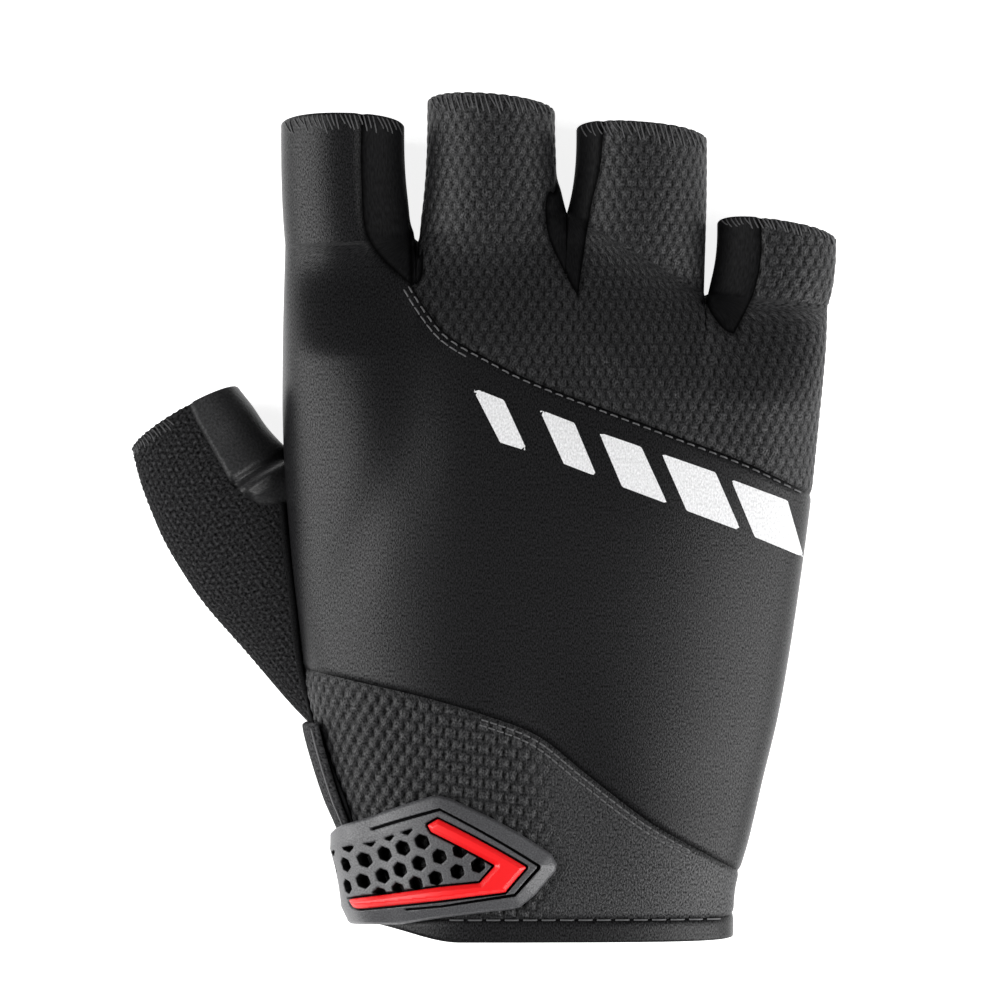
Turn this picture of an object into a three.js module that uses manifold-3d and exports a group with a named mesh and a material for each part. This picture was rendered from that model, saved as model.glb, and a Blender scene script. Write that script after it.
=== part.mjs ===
// A fingerless cycling glove for the right hand, lying palm down on a surface and keeping the
// round form that a hand gives it. It is cut and sewn from stretch cloth panels, with a synthetic
// leather palm, and its cuff closes with a moulded rubber strap.
// Millimetres. +Y runs from the cuff to the fingertips, +X to the little finger, +Z to the back.
import * as THREE from "three";
import { mergeVertices } from "three/addons/utils/BufferGeometryUtils.js";
import Module from "manifold-3d";

const wasm = await Module();
wasm.setup();

// Driving dimensions
const gloveLength = 152; // cuff edge to the edge of the middle finger
const palmWidth = 95.5; // across the knuckles, thumb left out
const palmDepth = 35; // floor to the highest part of the back
const clothWall = 1.4;
const seamGap = 0.3; // open seam between two neighbouring panels
const fingerDepth = 20.5; // floor to the back of the middle finger
const fingerWaist = 10; // height of a finger's widest line
const rimSetback = 4.6; // how far each finger opening is cut back on the palm side
const cuffSetback = 5; // the same at the cuff
const cuffCorner = 1.5; // extra at the cuff's thumb side
const cuffShare = 0.16; // share of gloveLength over which the cuff's setback fades
const cuffHemDepth = 4; // width of the turned hem round the cuff
const thumbDepth = 18.5;
const thumbSetback = 3.5;
const sideLedge = 0.6; // thumb cloth taken into the seam along the hand
const bindingRadius = 0.8;
const bindingRise = 0.6; // from the wrist to the binding's middle
const flapGap = 0.3; // between the wrist and the loose cuff flap
const flapThickness = 1.2;
const strapGap = 0.3; // between the strap and what it lies on
const strapThickness = 2.4; // at the moulded end
const strapWebThickness = 1.5; // where it wraps the wrist
const fieldRecess = 0.7; // depth of the strap's honeycomb field below its rim
const insertHeight = 0.5; // height of the red insert above the strap's rim
const honeycombHole = 2.5; // across a hexagonal hole's corners
const honeycombPitch = 3.5; // between holes in a row
const honeycombRowPitch = 3.2;
const honeycombTurn = 19; // degrees, the rows rise towards the strap's tip
const honeycombShift = 7.6; // sets a row of holes against the field's upper edge
const honeycombMargin = 0.75; // least distance of a hole's centre from the pierced part's edge
const printGap = 0.3; // clearance below each reflective bar
const printThickness = 0.3;

// Cross sections of the hand from cuff to knuckles. along is a share of gloveLength, left and right
// are shares of palmWidth from the centre line, and back, floor, waist and seam are shares of
// palmDepth: the top, the underside, the widest line and the palm seam. square is the exponent of
// the outline, 2 for an ellipse and more for a flatter back.
const handSections = [
  { along: 0.0, left: -0.345, right: 0.345, back: 0.94, floor: 0.1, waist: 0.5, seam: 0.32, square: 2.6 },
  { along: 0.057, left: -0.355, right: 0.349, back: 0.96, floor: 0.1, waist: 0.5, seam: 0.32, square: 2.6 },
  { along: 0.116, left: -0.377, right: 0.374, back: 0.97, floor: 0.09, waist: 0.5, seam: 0.32, square: 2.5 },
  { along: 0.187, left: -0.418, right: 0.4, back: 0.98, floor: 0.06, waist: 0.48, seam: 0.31, square: 2.4 },
  { along: 0.259, left: -0.45, right: 0.428, back: 0.99, floor: 0.02, waist: 0.46, seam: 0.29, square: 2.4 },
  { along: 0.33, left: -0.466, right: 0.449, back: 0.995, floor: 0, waist: 0.44, seam: 0.27, square: 2.4 },
  { along: 0.425, left: -0.487, right: 0.472, back: 1.0, floor: 0, waist: 0.43, seam: 0.26, square: 2.4 },
  { along: 0.52, left: -0.498, right: 0.492, back: 0.985, floor: 0, waist: 0.41, seam: 0.25, square: 2.5 },
  { along: 0.614, left: -0.504, right: 0.508, back: 0.93, floor: 0, waist: 0.38, seam: 0.23, square: 2.8 },
  { along: 0.709, left: -0.504, right: 0.522, back: 0.82, floor: 0, waist: 0.34, seam: 0.2, square: 3.5 },
  { along: 0.822, left: -0.5, right: 0.526, back: 0.64, floor: 0, waist: 0.29, seam: 0.17, square: 4.5 },
];
const backSlope = 0.07; // share by which the back falls from the thumb side to the little finger
const palmSquare = 3; // exponent of the underside's outline
const palmFullness = 1.15; // how far the round underside would reach, the floor flattens it

// Where neighbouring fingers part, from the thumb side outwards: shares of palmWidth and gloveLength.
const fingerRoots = [
  { x: -0.5, along: 0.822 },
  { x: -0.251, along: 0.828 },
  { x: 0.032, along: 0.86 },
  { x: 0.294, along: 0.763 },
  { x: 0.526, along: 0.751 },
];
const knuckleReach = 0.17; // share of the hand over which the back divides into four fingers

// Finger openings: left and right edges as shares of palmWidth, the edge's place as a share of
// gloveLength, how far its right end drops as a share of gloveLength, and depth of fingerDepth.
const fingers = [
  { left: -0.508, right: -0.275, along: 0.977, drop: 0.002, depth: 0.98 },
  { left: -0.232, right: 0.01, along: 1.0, drop: 0.012, depth: 1.0 },
  { left: 0.05, right: 0.297, along: 0.967, drop: 0.012, depth: 0.98 },
  { left: 0.316, right: 0.541, along: 0.851, drop: 0.02, depth: 0.92 },
];
const fingerSquare = 2.2; // exponent of a finger's back

// Thumb tube from its opening to its root inside the hand. Both ends of each section's width are
// shares of palmWidth and gloveLength, and top and floor are shares of thumbDepth.
const thumbSections = [
  { leftX: -0.798, leftAlong: 0.59, rightX: -0.598, rightAlong: 0.663, top: 1.0, floor: 0 },
  { leftX: -0.785, leftAlong: 0.558, rightX: -0.566, rightAlong: 0.636, top: 1.0, floor: 0 },
  { leftX: -0.764, leftAlong: 0.52, rightX: -0.532, rightAlong: 0.605, top: 1.0, floor: 0 },
  { leftX: -0.726, leftAlong: 0.466, rightX: -0.475, rightAlong: 0.567, top: 1.02, floor: 0 },
  { leftX: -0.66, leftAlong: 0.401, rightX: -0.396, rightAlong: 0.514, top: 1.05, floor: 0.01 },
  { leftX: -0.575, leftAlong: 0.339, rightX: -0.311, rightAlong: 0.448, top: 1.08, floor: 0.03 },
  { leftX: -0.487, leftAlong: 0.275, rightX: -0.236, rightAlong: 0.371, top: 1.08, floor: 0.06 },
  { leftX: -0.385, leftAlong: 0.211, rightX: -0.179, rightAlong: 0.294, top: 1.0, floor: 0.12 },
];
const thumbFlattening = 1.3; // how far the thumb's round underside would reach below the floor

// Shallow hollows in the back. x and width are shares of palmWidth, along and length shares of
// gloveLength, lean is in degrees clockwise from the hand's length, depth a share of palmDepth.
const backHollows = [
  { x: -0.27, along: 0.64, width: 0.07, length: 0.14, lean: 4, depth: 0.03 },
  { x: 0.05, along: 0.7, width: 0.07, length: 0.12, lean: -6, depth: 0.035 },
  { x: 0.33, along: 0.62, width: 0.07, length: 0.12, lean: -14, depth: 0.035 },
  { x: 0.02, along: 0.2, width: 0.2, length: 0.06, lean: 70, depth: 0.025 },
  { x: -0.38, along: 0.45, width: 0.05, length: 0.09, lean: 20, depth: 0.03 },
];

// Strips between neighbouring fingers. Each is cut from one finger, the host, as far as a seam
// that lies tipShare and rootShare across it from its left edge. point and side are millimetres from
// the place where the fingers part: the strip's point on the back, and its other seam from there on.
const gussets = [
  {
    root: 1, host: 0, tipShare: 0.66, rootShare: 0.64, point: [-0.9, -8.3],
    side: [[0.9, -6.8], [0.9, -1.5], [0, 0]],
  },
  {
    root: 2, host: 2, tipShare: 0.2, rootShare: 0.16, point: [2, -15.1],
    side: [[-1.4, -8.8], [-3.4, -3.6], [-3.7, 1.4], [-2.9, 3.8], [-1.6, 5.6]],
  },
  {
    root: 3, host: 3, tipShare: 0.36, rootShare: 0.38, point: [5, -7],
    side: [[2.8, -5.8], [-0.5, -0.9], [0, 0]],
  },
];
const gussetSeamPlaces = [1.6, 1, 0.5, 0]; // from past the finger's opening to its root

// Seams drawn on the back: shares of palmWidth and gloveLength.
const knuckleSeam = [
  [-0.228, 0.741], [-0.189, 0.713], [-0.115, 0.686], [-0.025, 0.658], [0.187, 0.607],
  [0.351, 0.568], [0.438, 0.543], [0.6, 0.492],
];
const wristSeam = [
  [-0.56, 0.333], [-0.366, 0.306], [-0.24, 0.288], [-0.125, 0.267], [-0.023, 0.242],
  [0.068, 0.197], [0.183, 0.142], [0.3, 0.1], [0.45, 0.05],
];
const thumbSeam = [
  [-0.72, 0.7], [-0.691, 0.662], [-0.675, 0.625], [-0.647, 0.592], [-0.619, 0.561],
  [-0.596, 0.537], [-0.56, 0.52], [-0.536, 0.514], [-0.46, 0.52],
];
// The binding runs down the crease over the thumb, then turns onto the wrist. Shares of gloveLength.
const bindingRun = { from: 0.51, turn: 0.275, onWrist: 0.235, to: 0.1, angle: 155 };

// Reflective bars printed on the back, corner by corner: shares of palmWidth and gloveLength.
const printBars = [
  [[-0.147, 0.652], [-0.087, 0.637], [-0.043, 0.577], [-0.094, 0.587]],
  [[-0.021, 0.626], [0.045, 0.61], [0.087, 0.547], [0.025, 0.562]],
  [[0.091, 0.599], [0.17, 0.582], [0.219, 0.515], [0.134, 0.535]],
  [[0.208, 0.574], [0.309, 0.552], [0.357, 0.483], [0.255, 0.507]],
  [[0.338, 0.544], [0.445, 0.519], [0.476, 0.452], [0.383, 0.476]],
];

// The rubber strap from above, with its tip at the origin: shares of strapLength and strapWidth.
// Its left end runs on round the thumb side of the wrist.
const strapTip = { x: 0.013, along: 0.0925 };
const strapLength = 40.5;
const strapWidth = 23.2;
const strapOutline = [
  [-1.2, 0.17], [-0.973, 0.225], [-0.76, 0.38], [-0.582, 0.489], [-0.507, 0.527], [-0.449, 0.512],
  [-0.169, 0.24], [-0.022, 0.078], [0, 0], [-0.022, -0.078], [-0.156, -0.326], [-0.182, -0.349],
  [-0.538, -0.411], [-0.738, -0.473], [-1.2, -0.473],
];
const fieldOutline = [
  [-0.95, 0.09], [-0.78, 0.262], [-0.49, 0.42], [-0.086, -0.016], [-0.209, -0.24], [-0.9, -0.385],
  [-0.935, -0.3],
];
const insertOutline = [
  [-0.545, 0.315], [-0.495, 0.352], [-0.14, -0.028], [-0.23, -0.222], [-0.876, -0.349],
  [-0.904, -0.287], [-0.333, -0.15], [-0.273, -0.016], [-0.512, 0.23],
];
// Corners of the pierced part of the field, anticlockwise.
const piercedOutline = [
  [-0.93, -0.25], [-0.36, -0.12], [-0.31, -0.016], [-0.53, 0.3], [-0.78, 0.23], [-0.95, 0.06],
];
// Angles round the wrist, in degrees: 0 is the little finger's side, 90 the back, 180 the thumb's.
const strapAngles = { from: 82, to: 244 };
const strapRise = { from: 138, to: 158 }; // here it lifts off the wrist to pass over the flap
const strapFall = { from: 203, to: 228 }; // here it comes back to the wrist
const strapThinning = { from: 150, to: 175 };
const strapReach = { from: -0.02, to: 0.21 }; // shares of gloveLength, outside its outline
const pierceLimit = 172; // the strap is pierced no further round than this
const flapAngles = { from: 166, to: 200 };
const flapReach = { from: 0.1, to: 0.24 }; // shares of gloveLength

// Mesh fineness
const stepsPerFinger = 6;
const handRows = 13;
const fingerRows = 3;
const thumbRing = 14;
const thumbRows = 8;
const lineSteps = 12;
const gussetSteps = 8;
const hemSteps = 6;
const cordSteps = 18;
const cordSides = 6;
const strapColumns = 22;
const strapRows = 4;
const flapSteps = 5;
const rowCrowding = 1.4; // above 1, rows lie closer together towards the knuckles
const honeycombRows = 4; // rows of holes laid out to each side of the middle one
const honeycombColumns = 16;
const pegLength = 12;
const fieldHeadroom = 3; // open height over the strap's outer face
const slopeStep = 0.02; // radians round the wrist over which its slope is taken
const openingReach = 6; // how far the hollow runs out past each opening
const far = 2 * gloveLength; // clear of the whole glove
const through = 2 * palmDepth;

const lerp = THREE.MathUtils.lerp;
const clamp = THREE.MathUtils.clamp;
const radians = THREE.MathUtils.degToRad;
const smooth = (t) => THREE.MathUtils.smoothstep(t, 0, 1);
const ramp = (angle, { from, to }) => smooth((angle - from) / (to - from));
const superArc = (s, power) => Math.max(0, 1 - Math.abs(s) ** power) ** (1 / power);

// Smooth curve through one column of a table, level beyond its ends.
function profile(table, column, along) {
  const last = table.length - 1;
  const t = clamp(along, table[0].along, table[last].along);
  let i = 0;
  while (i < last - 1 && table[i + 1].along < t) i += 1;
  const slope = (a, b) => (table[b][column] - table[a][column]) / (table[b].along - table[a].along);
  const span = table[i + 1].along - table[i].along;
  const before = slope(Math.max(i - 1, 0), i + 1) * span;
  const after = slope(i, Math.min(i + 2, last)) * span;
  const u = (t - table[i].along) / span;
  const u2 = u * u;
  const u3 = u2 * u;
  const ends = (2 * u3 - 3 * u2 + 1) * table[i][column] + (3 * u2 - 2 * u3) * table[i + 1][column];
  return ends + (u3 - 2 * u2 + u) * before + (u3 - u2) * after;
}

// The hand's section at a place along it, its walls moved in by inset.
function handSection(along, inset) {
  return {
    left: profile(handSections, "left", along) * palmWidth + inset,
    right: profile(handSections, "right", along) * palmWidth - inset,
    back: profile(handSections, "back", along) * palmDepth - inset,
    floor: Math.max(profile(handSections, "floor", along), 0) * palmDepth + inset,
    waist: profile(handSections, "waist", along) * palmDepth,
    square: profile(handSections, "square", along),
  };
}

// Depth of the back's hollows at a point.
function hollowDepth(x, y) {
  return backHollows.reduce((sum, hollow) => {
    const turn = radians(hollow.lean);
    const dx = x - hollow.x * palmWidth;
    const dy = y - hollow.along * gloveLength;
    const across = (dx * Math.cos(turn) - dy * Math.sin(turn)) / (hollow.width * palmWidth);
    const lengthwise = (dx * Math.sin(turn) + dy * Math.cos(turn)) / (hollow.length * gloveLength);
    return sum + hollow.depth * palmDepth * Math.exp(-(across ** 2) - lengthwise ** 2);
  }, 0);
}

// How far the cuff is cut back at a height, more on the palm side and at the thumb's corner.
const cuffTop = handSections[0].back * palmDepth;
const cuffDrop = (z) => cuffSetback * ((cuffTop - z) / palmDepth) ** 2;
function cuffShift(z, along, across) {
  const fade = 1 - clamp(along / cuffShare, 0, 1);
  const corner = cuffCorner * smooth((-across - 0.5) / 0.5);
  return (cuffDrop(z) + corner) * fade;
}

// The outer edges of the hand stay in place in a thicker wall, only the partings move back.
const isOuterRoot = (index) => index === 0 || index === fingers.length;
const rootAlong = (index, inset) =>
  fingerRoots[index].along - (isOuterRoot(index) ? 0 : inset / gloveLength);

// Line between two fingers' bands, from the cuff at t = 0 to where the fingers part at t = 1.
function bandEdge(index, t, inset, reach) {
  const end = rootAlong(index, inset);
  const along = lerp(-reach / gloveLength, end, t);
  const section = handSection(along, inset);
  const root = handSection(end, inset);
  const rootShare = (fingerRoots[index].x * palmWidth - root.left) / (root.right - root.left);
  const even = index / fingers.length;
  const share = isOuterRoot(index) ? even : lerp(even, rootShare, t);
  return { x: lerp(section.left, section.right, share), along };
}

// A point of the hand below the fingers' roots. angle runs from 0 to PI across the finger's band.
function handPoint(index, angle, t, isBack, inset, reach) {
  const from = bandEdge(index, t, inset, reach);
  const to = bandEdge(index + 1, t, inset, reach);
  const s = -Math.cos(angle);
  const x = lerp(from.x, to.x, (1 + s) / 2);
  const along = lerp(from.along, to.along, (1 + s) / 2);
  const section = handSection(along, inset);
  const across = (2 * (x - section.left)) / (section.right - section.left) - 1;
  const parting = clamp((t - 1 + knuckleReach) / knuckleReach, 0, 1);
  const isOuterSide = (index === 0 && s < 0) || (index === fingers.length - 1 && s > 0);
  const saddle = isOuterSide ? 0 : s * s;
  const share = lerp(1 - smooth(parting), Math.sqrt(1 - parting * parting), saddle);
  const blended = (whole, lobe) => whole * share + lobe * (1 - share);
  let z = section.waist;
  if (isBack) {
    const whole = (section.back * (1 - backSlope * across) - z) * superArc(across, section.square);
    const lobe = (fingers[index].depth * fingerDepth - inset - z) * superArc(s, fingerSquare);
    z += blended(whole, lobe) - hollowDepth(x, along * gloveLength) * superArc(across, 2) * share;
  } else {
    const depth = (z - section.floor) * palmFullness;
    z = Math.max(z - depth * blended(superArc(across, palmSquare), superArc(s, palmSquare)), section.floor);
  }
  return new THREE.Vector3(x, along * gloveLength + cuffShift(z, along, across), z);
}

// A point of a finger, from its root at t = 0 to its opening at t = 1.
function fingerPoint(index, angle, t, isBack, inset, reach) {
  const finger = fingers[index];
  const flare = 1 - (1 - t) ** 3;
  const wall = inset * (1 - (1 - t) ** 8);
  const s = -Math.cos(angle);
  const u = (1 + s) / 2;
  const left = lerp(fingerRoots[index].x, finger.left, flare) * palmWidth + wall;
  const right = lerp(fingerRoots[index + 1].x, finger.right, flare) * palmWidth - wall;
  const root = lerp(rootAlong(index, inset), rootAlong(index + 1, inset), u);
  const along = lerp(root, finger.along - finger.drop * (u - 0.5), t);
  const waist = lerp(handSection(root, 0).waist, fingerWaist, smooth(t));
  const top = finger.depth * fingerDepth;
  const depth = waist - inset;
  const z = isBack
    ? waist + (top - inset - waist) * superArc(s, fingerSquare)
    : waist - Math.min(depth * palmFullness * superArc(s, palmSquare), depth);
  const setback = rimSetback * (1 - z / top);
  return new THREE.Vector3(lerp(left, right, u), along * gloveLength + (reach - setback) * t ** 3, z);
}

// Collects the vertices and triangles of one closed surface.
class Skin {
  positions = [];
  triangles = [];
  add(point) {
    this.positions.push(point.x, point.y, point.z);
    return this.positions.length / 3 - 1;
  }
  // Joins two rings of the same length.
  band(lower, upper) {
    lower.forEach((a, i) => {
      const j = (i + 1) % lower.length;
      this.triangles.push(a, lower[j], upper[j], a, upper[j], upper[i]);
    });
  }
  // Closes a ring with a fan round its middle.
  cap(ring) {
    const middle = new THREE.Vector3();
    ring.forEach((i) => middle.add(new THREE.Vector3().fromArray(this.positions, 3 * i)));
    const hub = this.add(middle.divideScalar(ring.length));
    ring.forEach((a, i) => this.triangles.push(a, ring[(i + 1) % ring.length], hub));
  }
  geometry() {
    const made = new THREE.BufferGeometry();
    made.setAttribute("position", new THREE.Float32BufferAttribute(this.positions, 3));
    made.setIndex(this.triangles);
    return made;
  }
}

// Hand and four fingers as one closed skin, its ends past the openings by reach.
function handSkin(inset, reach) {
  const skin = new Skin();
  const angles = Array.from({ length: stepsPerFinger + 1 }, (_, i) => (Math.PI * i) / stepsPerFinger);
  const columns = fingers.length * stepsPerFinger;
  const ringOf = ({ back, under }) => [...back, ...under.slice(1, -1).reverse()];
  const handRow = (t) => {
    const back = [];
    const under = [];
    for (let c = 0; c <= columns; c += 1) {
      const index = Math.min(Math.floor(c / stepsPerFinger), fingers.length - 1);
      const angle = angles[c - index * stepsPerFinger];
      const shared = c === 0 || c === columns || (t === 1 && c % stepsPerFinger === 0);
      back.push(skin.add(handPoint(index, angle, t, true, inset, reach)));
      under.push(shared ? back[c] : skin.add(handPoint(index, angle, t, false, inset, reach)));
    }
    return { back, under };
  };
  const rowAt = (k) => handRow(1 - (1 - k / handRows) ** rowCrowding);
  const rows = Array.from({ length: handRows + 1 }, (_, k) => rowAt(k));
  rows.slice(1).forEach((row, k) => skin.band(ringOf(rows[k]), ringOf(row)));
  skin.cap(ringOf(rows[0]).reverse());
  fingers.forEach((_, index) => {
    const first = index * stepsPerFinger;
    const cut = (row) => row.slice(first, first + stepsPerFinger + 1);
    let ring = ringOf({ back: cut(rows[handRows].back), under: cut(rows[handRows].under) });
    for (let k = 1; k <= fingerRows; k += 1) {
      const t = k / fingerRows;
      const back = angles.map((a) => skin.add(fingerPoint(index, a, t, true, inset, reach)));
      const under = angles.map((a, i) => {
        const shared = i === 0 || i === stepsPerFinger;
        return shared ? back[i] : skin.add(fingerPoint(index, a, t, false, inset, reach));
      });
      const next = ringOf({ back, under });
      skin.band(ring, next);
      ring = next;
    }
    skin.cap(ring);
  });
  return skin.geometry();
}

// Thumb tube as one closed skin, its root inside the hand.
function thumbSkin(inset, reach) {
  const skin = new Skin();
  const stations = thumbSections.map((row, i) => ({ ...row, along: i / (thumbSections.length - 1) }));
  const end = (side, t) => {
    const x = profile(stations, side + "X", t) * palmWidth;
    return new THREE.Vector3(x, profile(stations, side + "Along", t) * gloveLength, 0);
  };
  let ring = null;
  for (let k = 0; k <= thumbRows; k += 1) {
    const t = k / thumbRows;
    const left = end("left", t);
    const right = end("right", t);
    const across = right.clone().sub(left).normalize();
    const outwards = new THREE.Vector3(-across.y, across.x, 0);
    const middle = left.clone().lerp(right, 0.5);
    const half = left.distanceTo(right) / 2 - inset;
    const top = profile(stations, "top", t) * thumbDepth;
    const waist = top / 2;
    const above = top - waist - inset;
    const below = waist - Math.max(profile(stations, "floor", t), 0) * thumbDepth - inset;
    const row = Array.from({ length: thumbRing }, (_, i) => {
      const angle = Math.PI - (2 * Math.PI * i) / thumbRing;
      const rise = Math.sin(angle);
      const point = middle.clone().addScaledVector(across, half * Math.cos(angle));
      point.z = waist + (rise > 0 ? above * rise : Math.max(below * rise * thumbFlattening, -below));
      const setback = thumbSetback * (1 - point.z / top);
      return skin.add(point.addScaledVector(outwards, (reach - setback) * (1 - t) ** 4));
    });
    if (ring) skin.band(row, ring);
    else skin.cap(row);
    ring = row;
  }
  skin.cap(ring.reverse());
  return skin.geometry();
}

// Solids from geometries.
function solidOf(geometry) {
  const bare = geometry.clone();
  bare.deleteAttribute("normal");
  bare.deleteAttribute("uv");
  const merged = mergeVertices(bare, 1e-4);
  const mesh = new wasm.Mesh({
    numProp: 3,
    vertProperties: merged.attributes.position.array,
    triVerts: new Uint32Array(merged.index.array),
  });
  return new wasm.Manifold(mesh);
}

const joined = (solids) => solids.reduce((sum, solid) => sum.add(solid));

// The largest body of a solid as a geometry: crumbs that a cut leaves at a seam are dropped.
function geometryOf(solid) {
  const mesh = solid.getMesh();
  const parent = Array.from({ length: mesh.vertProperties.length / 3 }, (_, i) => i);
  const top = (i) => {
    let found = i;
    while (parent[found] !== found) found = parent[found];
    parent[i] = found;
    return found;
  };
  const corners = Array.from({ length: mesh.triVerts.length / 3 }, (_, f) =>
    mesh.triVerts.slice(3 * f, 3 * f + 3),
  );
  corners.forEach(([a, b, c]) => {
    parent[top(b)] = top(a);
    parent[top(c)] = top(a);
  });
  const counts = new Map();
  corners.forEach(([a]) => counts.set(top(a), (counts.get(top(a)) ?? 0) + 1));
  const body = [...counts].reduce((best, entry) => (entry[1] > best[1] ? entry : best))[0];
  const kept = corners.filter(([a]) => top(a) === body).flatMap((corner) => [...corner]);
  const made = new THREE.BufferGeometry();
  made.setAttribute("position", new THREE.BufferAttribute(mesh.vertProperties, 3));
  made.setIndex(kept);
  const flat = made.toNonIndexed();
  flat.computeVertexNormals();
  return flat;
}

// A prism over an outline seen from above.
function prism(points, low = -through, high = through) {
  const options = { depth: high - low, bevelEnabled: false };
  const made = new THREE.ExtrudeGeometry(new THREE.Shape(points), options);
  return solidOf(made.translate(0, 0, low));
}

// A prism over an outline seen from the little finger's side, right across the glove.
function sidePrism(points) {
  const options = { depth: 2 * far, bevelEnabled: false };
  const made = new THREE.ExtrudeGeometry(new THREE.Shape(points), options);
  made.translate(0, 0, -far);
  const axes = [new THREE.Vector3(0, 1, 0), new THREE.Vector3(0, 0, 1), new THREE.Vector3(1, 0, 0)];
  return solidOf(made.applyMatrix4(new THREE.Matrix4().makeBasis(...axes)));
}

// A thin upright wall along a line, which opens a seam there.
function seamCut(points) {
  const sides = [1, -1].map((side) =>
    points.map((point, i) => {
      const from = points[Math.max(i - 1, 0)];
      const to = points[Math.min(i + 1, points.length - 1)];
      const run = to.clone().sub(from).normalize();
      return point.clone().add(new THREE.Vector2(-run.y, run.x).multiplyScalar((side * seamGap) / 2));
    }),
  );
  return prism([...sides[0], ...sides[1].reverse()]);
}

const place = ([x, along]) => new THREE.Vector2(x * palmWidth, along * gloveLength);
const curveThrough = (points, steps) => new THREE.SplineCurve(points).getPoints(steps);

// A strip between two fingers: the seam on its host finger, and its other edge through the parting.
function gussetLines({ root, host, tipShare, rootShare, point, side }) {
  const parting = place([fingerRoots[root].x, fingerRoots[root].along]);
  const fromParting = ([x, y]) => parting.clone().add(new THREE.Vector2(x, y));
  const finger = fingers[host];
  const seamAt = (t) => {
    const flare = 1 - Math.max(0, 1 - t) ** 3;
    const left = lerp(fingerRoots[host].x, finger.left, flare);
    const right = lerp(fingerRoots[host + 1].x, finger.right, flare);
    const share = lerp(rootShare, tipShare, Math.min(t, 1));
    return place([lerp(left, right, share), lerp(fingerRoots[root].along, finger.along, t)]);
  };
  const end = fromParting(point);
  const seam = curveThrough([...gussetSeamPlaces.map(seamAt), end], gussetSteps);
  const between = (fingers[root - 1].right + fingers[root].left) / 2;
  const opening = new THREE.Vector2(between * palmWidth, seam[0].y);
  return { seam, end, middle: [end, ...side.map(fromParting), opening] };
}

// Line just outside the hand's thumb-side wall.
function sideLine(from, to) {
  return Array.from({ length: lineSteps + 1 }, (_, i) => {
    const along = lerp(from, to, i / lineSteps);
    const x = profile(handSections, "left", along) * palmWidth - sideLedge;
    return new THREE.Vector2(x, along * gloveLength);
  });
}

// Height of the palm seam, seen from the side, moved up by rise.
function palmSeamLine(rise) {
  const height = ({ along, seam }) => new THREE.Vector2(along * gloveLength, seam * palmDepth + rise);
  const hand = handSections.map(height);
  const ends = [hand[0].clone(), hand[hand.length - 1].clone()];
  ends[0].x = -far;
  ends[1].x = far;
  return [ends[0], ...hand, ends[1]];
}

// Inner edge of the cuff's hem, seen from the side, moved along by shift.
function hemLine(shift) {
  const fade = 1 - cuffHemDepth / (cuffShare * gloveLength);
  return Array.from({ length: hemSteps + 1 }, (_, i) => {
    const z = lerp(cuffTop + openingReach, -openingReach, i / hemSteps);
    return new THREE.Vector2(cuffHemDepth + cuffDrop(z) * fade + shift, z);
  });
}

// A point on the wrist, its angle taken round it and moved out by offset.
function wristPoint(angle, along, offset) {
  const section = handSection(along, 0);
  const middle = (section.left + section.right) / 2;
  const half = (section.right - section.left) / 2;
  const outline = (a) => {
    const isBack = Math.sin(a) >= 0;
    const power = 2 / (isBack ? section.square : palmSquare);
    const s = Math.sign(Math.cos(a)) * Math.abs(Math.cos(a)) ** power;
    const back = section.back * (1 - backSlope * s) - section.waist;
    const depth = (section.waist - section.floor) * palmFullness;
    const z = section.waist + (isBack ? back : -depth) * Math.abs(Math.sin(a)) ** power;
    return new THREE.Vector2(middle + half * s, Math.max(z, section.floor));
  };
  const run = outline(angle + slopeStep).sub(outline(angle - slopeStep)).normalize();
  const point = outline(angle);
  const y = along * gloveLength + cuffShift(point.y, along, (point.x - middle) / half);
  const hollow = hollowDepth(point.x, y) * Math.max(0, Math.sin(angle));
  point.addScaledVector(new THREE.Vector2(run.y, -run.x), offset);
  return new THREE.Vector3(point.x, y, point.y - hollow);
}

// A curved plate on the wrist. inner and outer give its two faces' distances at an angle.
function wristPlate({ angles, reach, inner, outer, columns, rows }) {
  const skin = new Skin();
  const face = (offset) =>
    Array.from({ length: rows + 1 }, (_, r) =>
      Array.from({ length: columns + 1 }, (_, c) => {
        const angle = lerp(angles.from, angles.to, c / columns);
        const along = lerp(reach.from, reach.to, r / rows);
        return skin.add(wristPoint(radians(angle), along, offset(angle)));
      }),
    );
  const low = face(inner);
  const high = face(outer);
  for (let r = 0; r < rows; r += 1) {
    const ring = (row) => [...low[row], ...high[row].slice().reverse()];
    skin.band(ring(r), ring(r + 1));
  }
  for (let c = 0; c < columns; c += 1) {
    const [a, b, d, e] = [low[0][c], low[0][c + 1], high[0][c + 1], high[0][c]];
    skin.triangles.push(e, d, b, e, b, a);
    const [f, g, h, i] = [low[rows][c], low[rows][c + 1], high[rows][c + 1], high[rows][c]];
    skin.triangles.push(f, g, h, f, h, i);
  }
  return solidOf(skin.geometry());
}

// The strap lies on the wrist, stands off it over the flap, and comes back to it underneath.
const strapInner = (angle) => {
  const overFlap = ramp(angle, strapRise) * (1 - ramp(angle, strapFall));
  return strapGap + (flapGap + flapThickness) * overFlap;
};
const strapDepth = (angle) => lerp(strapThickness, strapWebThickness, ramp(angle, strapThinning));
const strapOuter = (angle) => strapInner(angle) + strapDepth(angle);
function strapPlate(inner, outer) {
  const size = { angles: strapAngles, reach: strapReach, columns: strapColumns, rows: strapRows };
  return wristPlate({ ...size, inner, outer });
}
const onStrap = ([x, y]) =>
  place([strapTip.x, strapTip.along]).add(new THREE.Vector2(x * strapLength, y * strapWidth));

// How far inside a convex anticlockwise outline a point lies, less than 0 outside it.
function depthInside(points, p) {
  const edgeDepth = (a, i) => {
    const edge = points[(i + 1) % points.length].clone().sub(a);
    return edge.cross(p.clone().sub(a)) / edge.length();
  };
  return Math.min(...points.map(edgeDepth));
}

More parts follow.
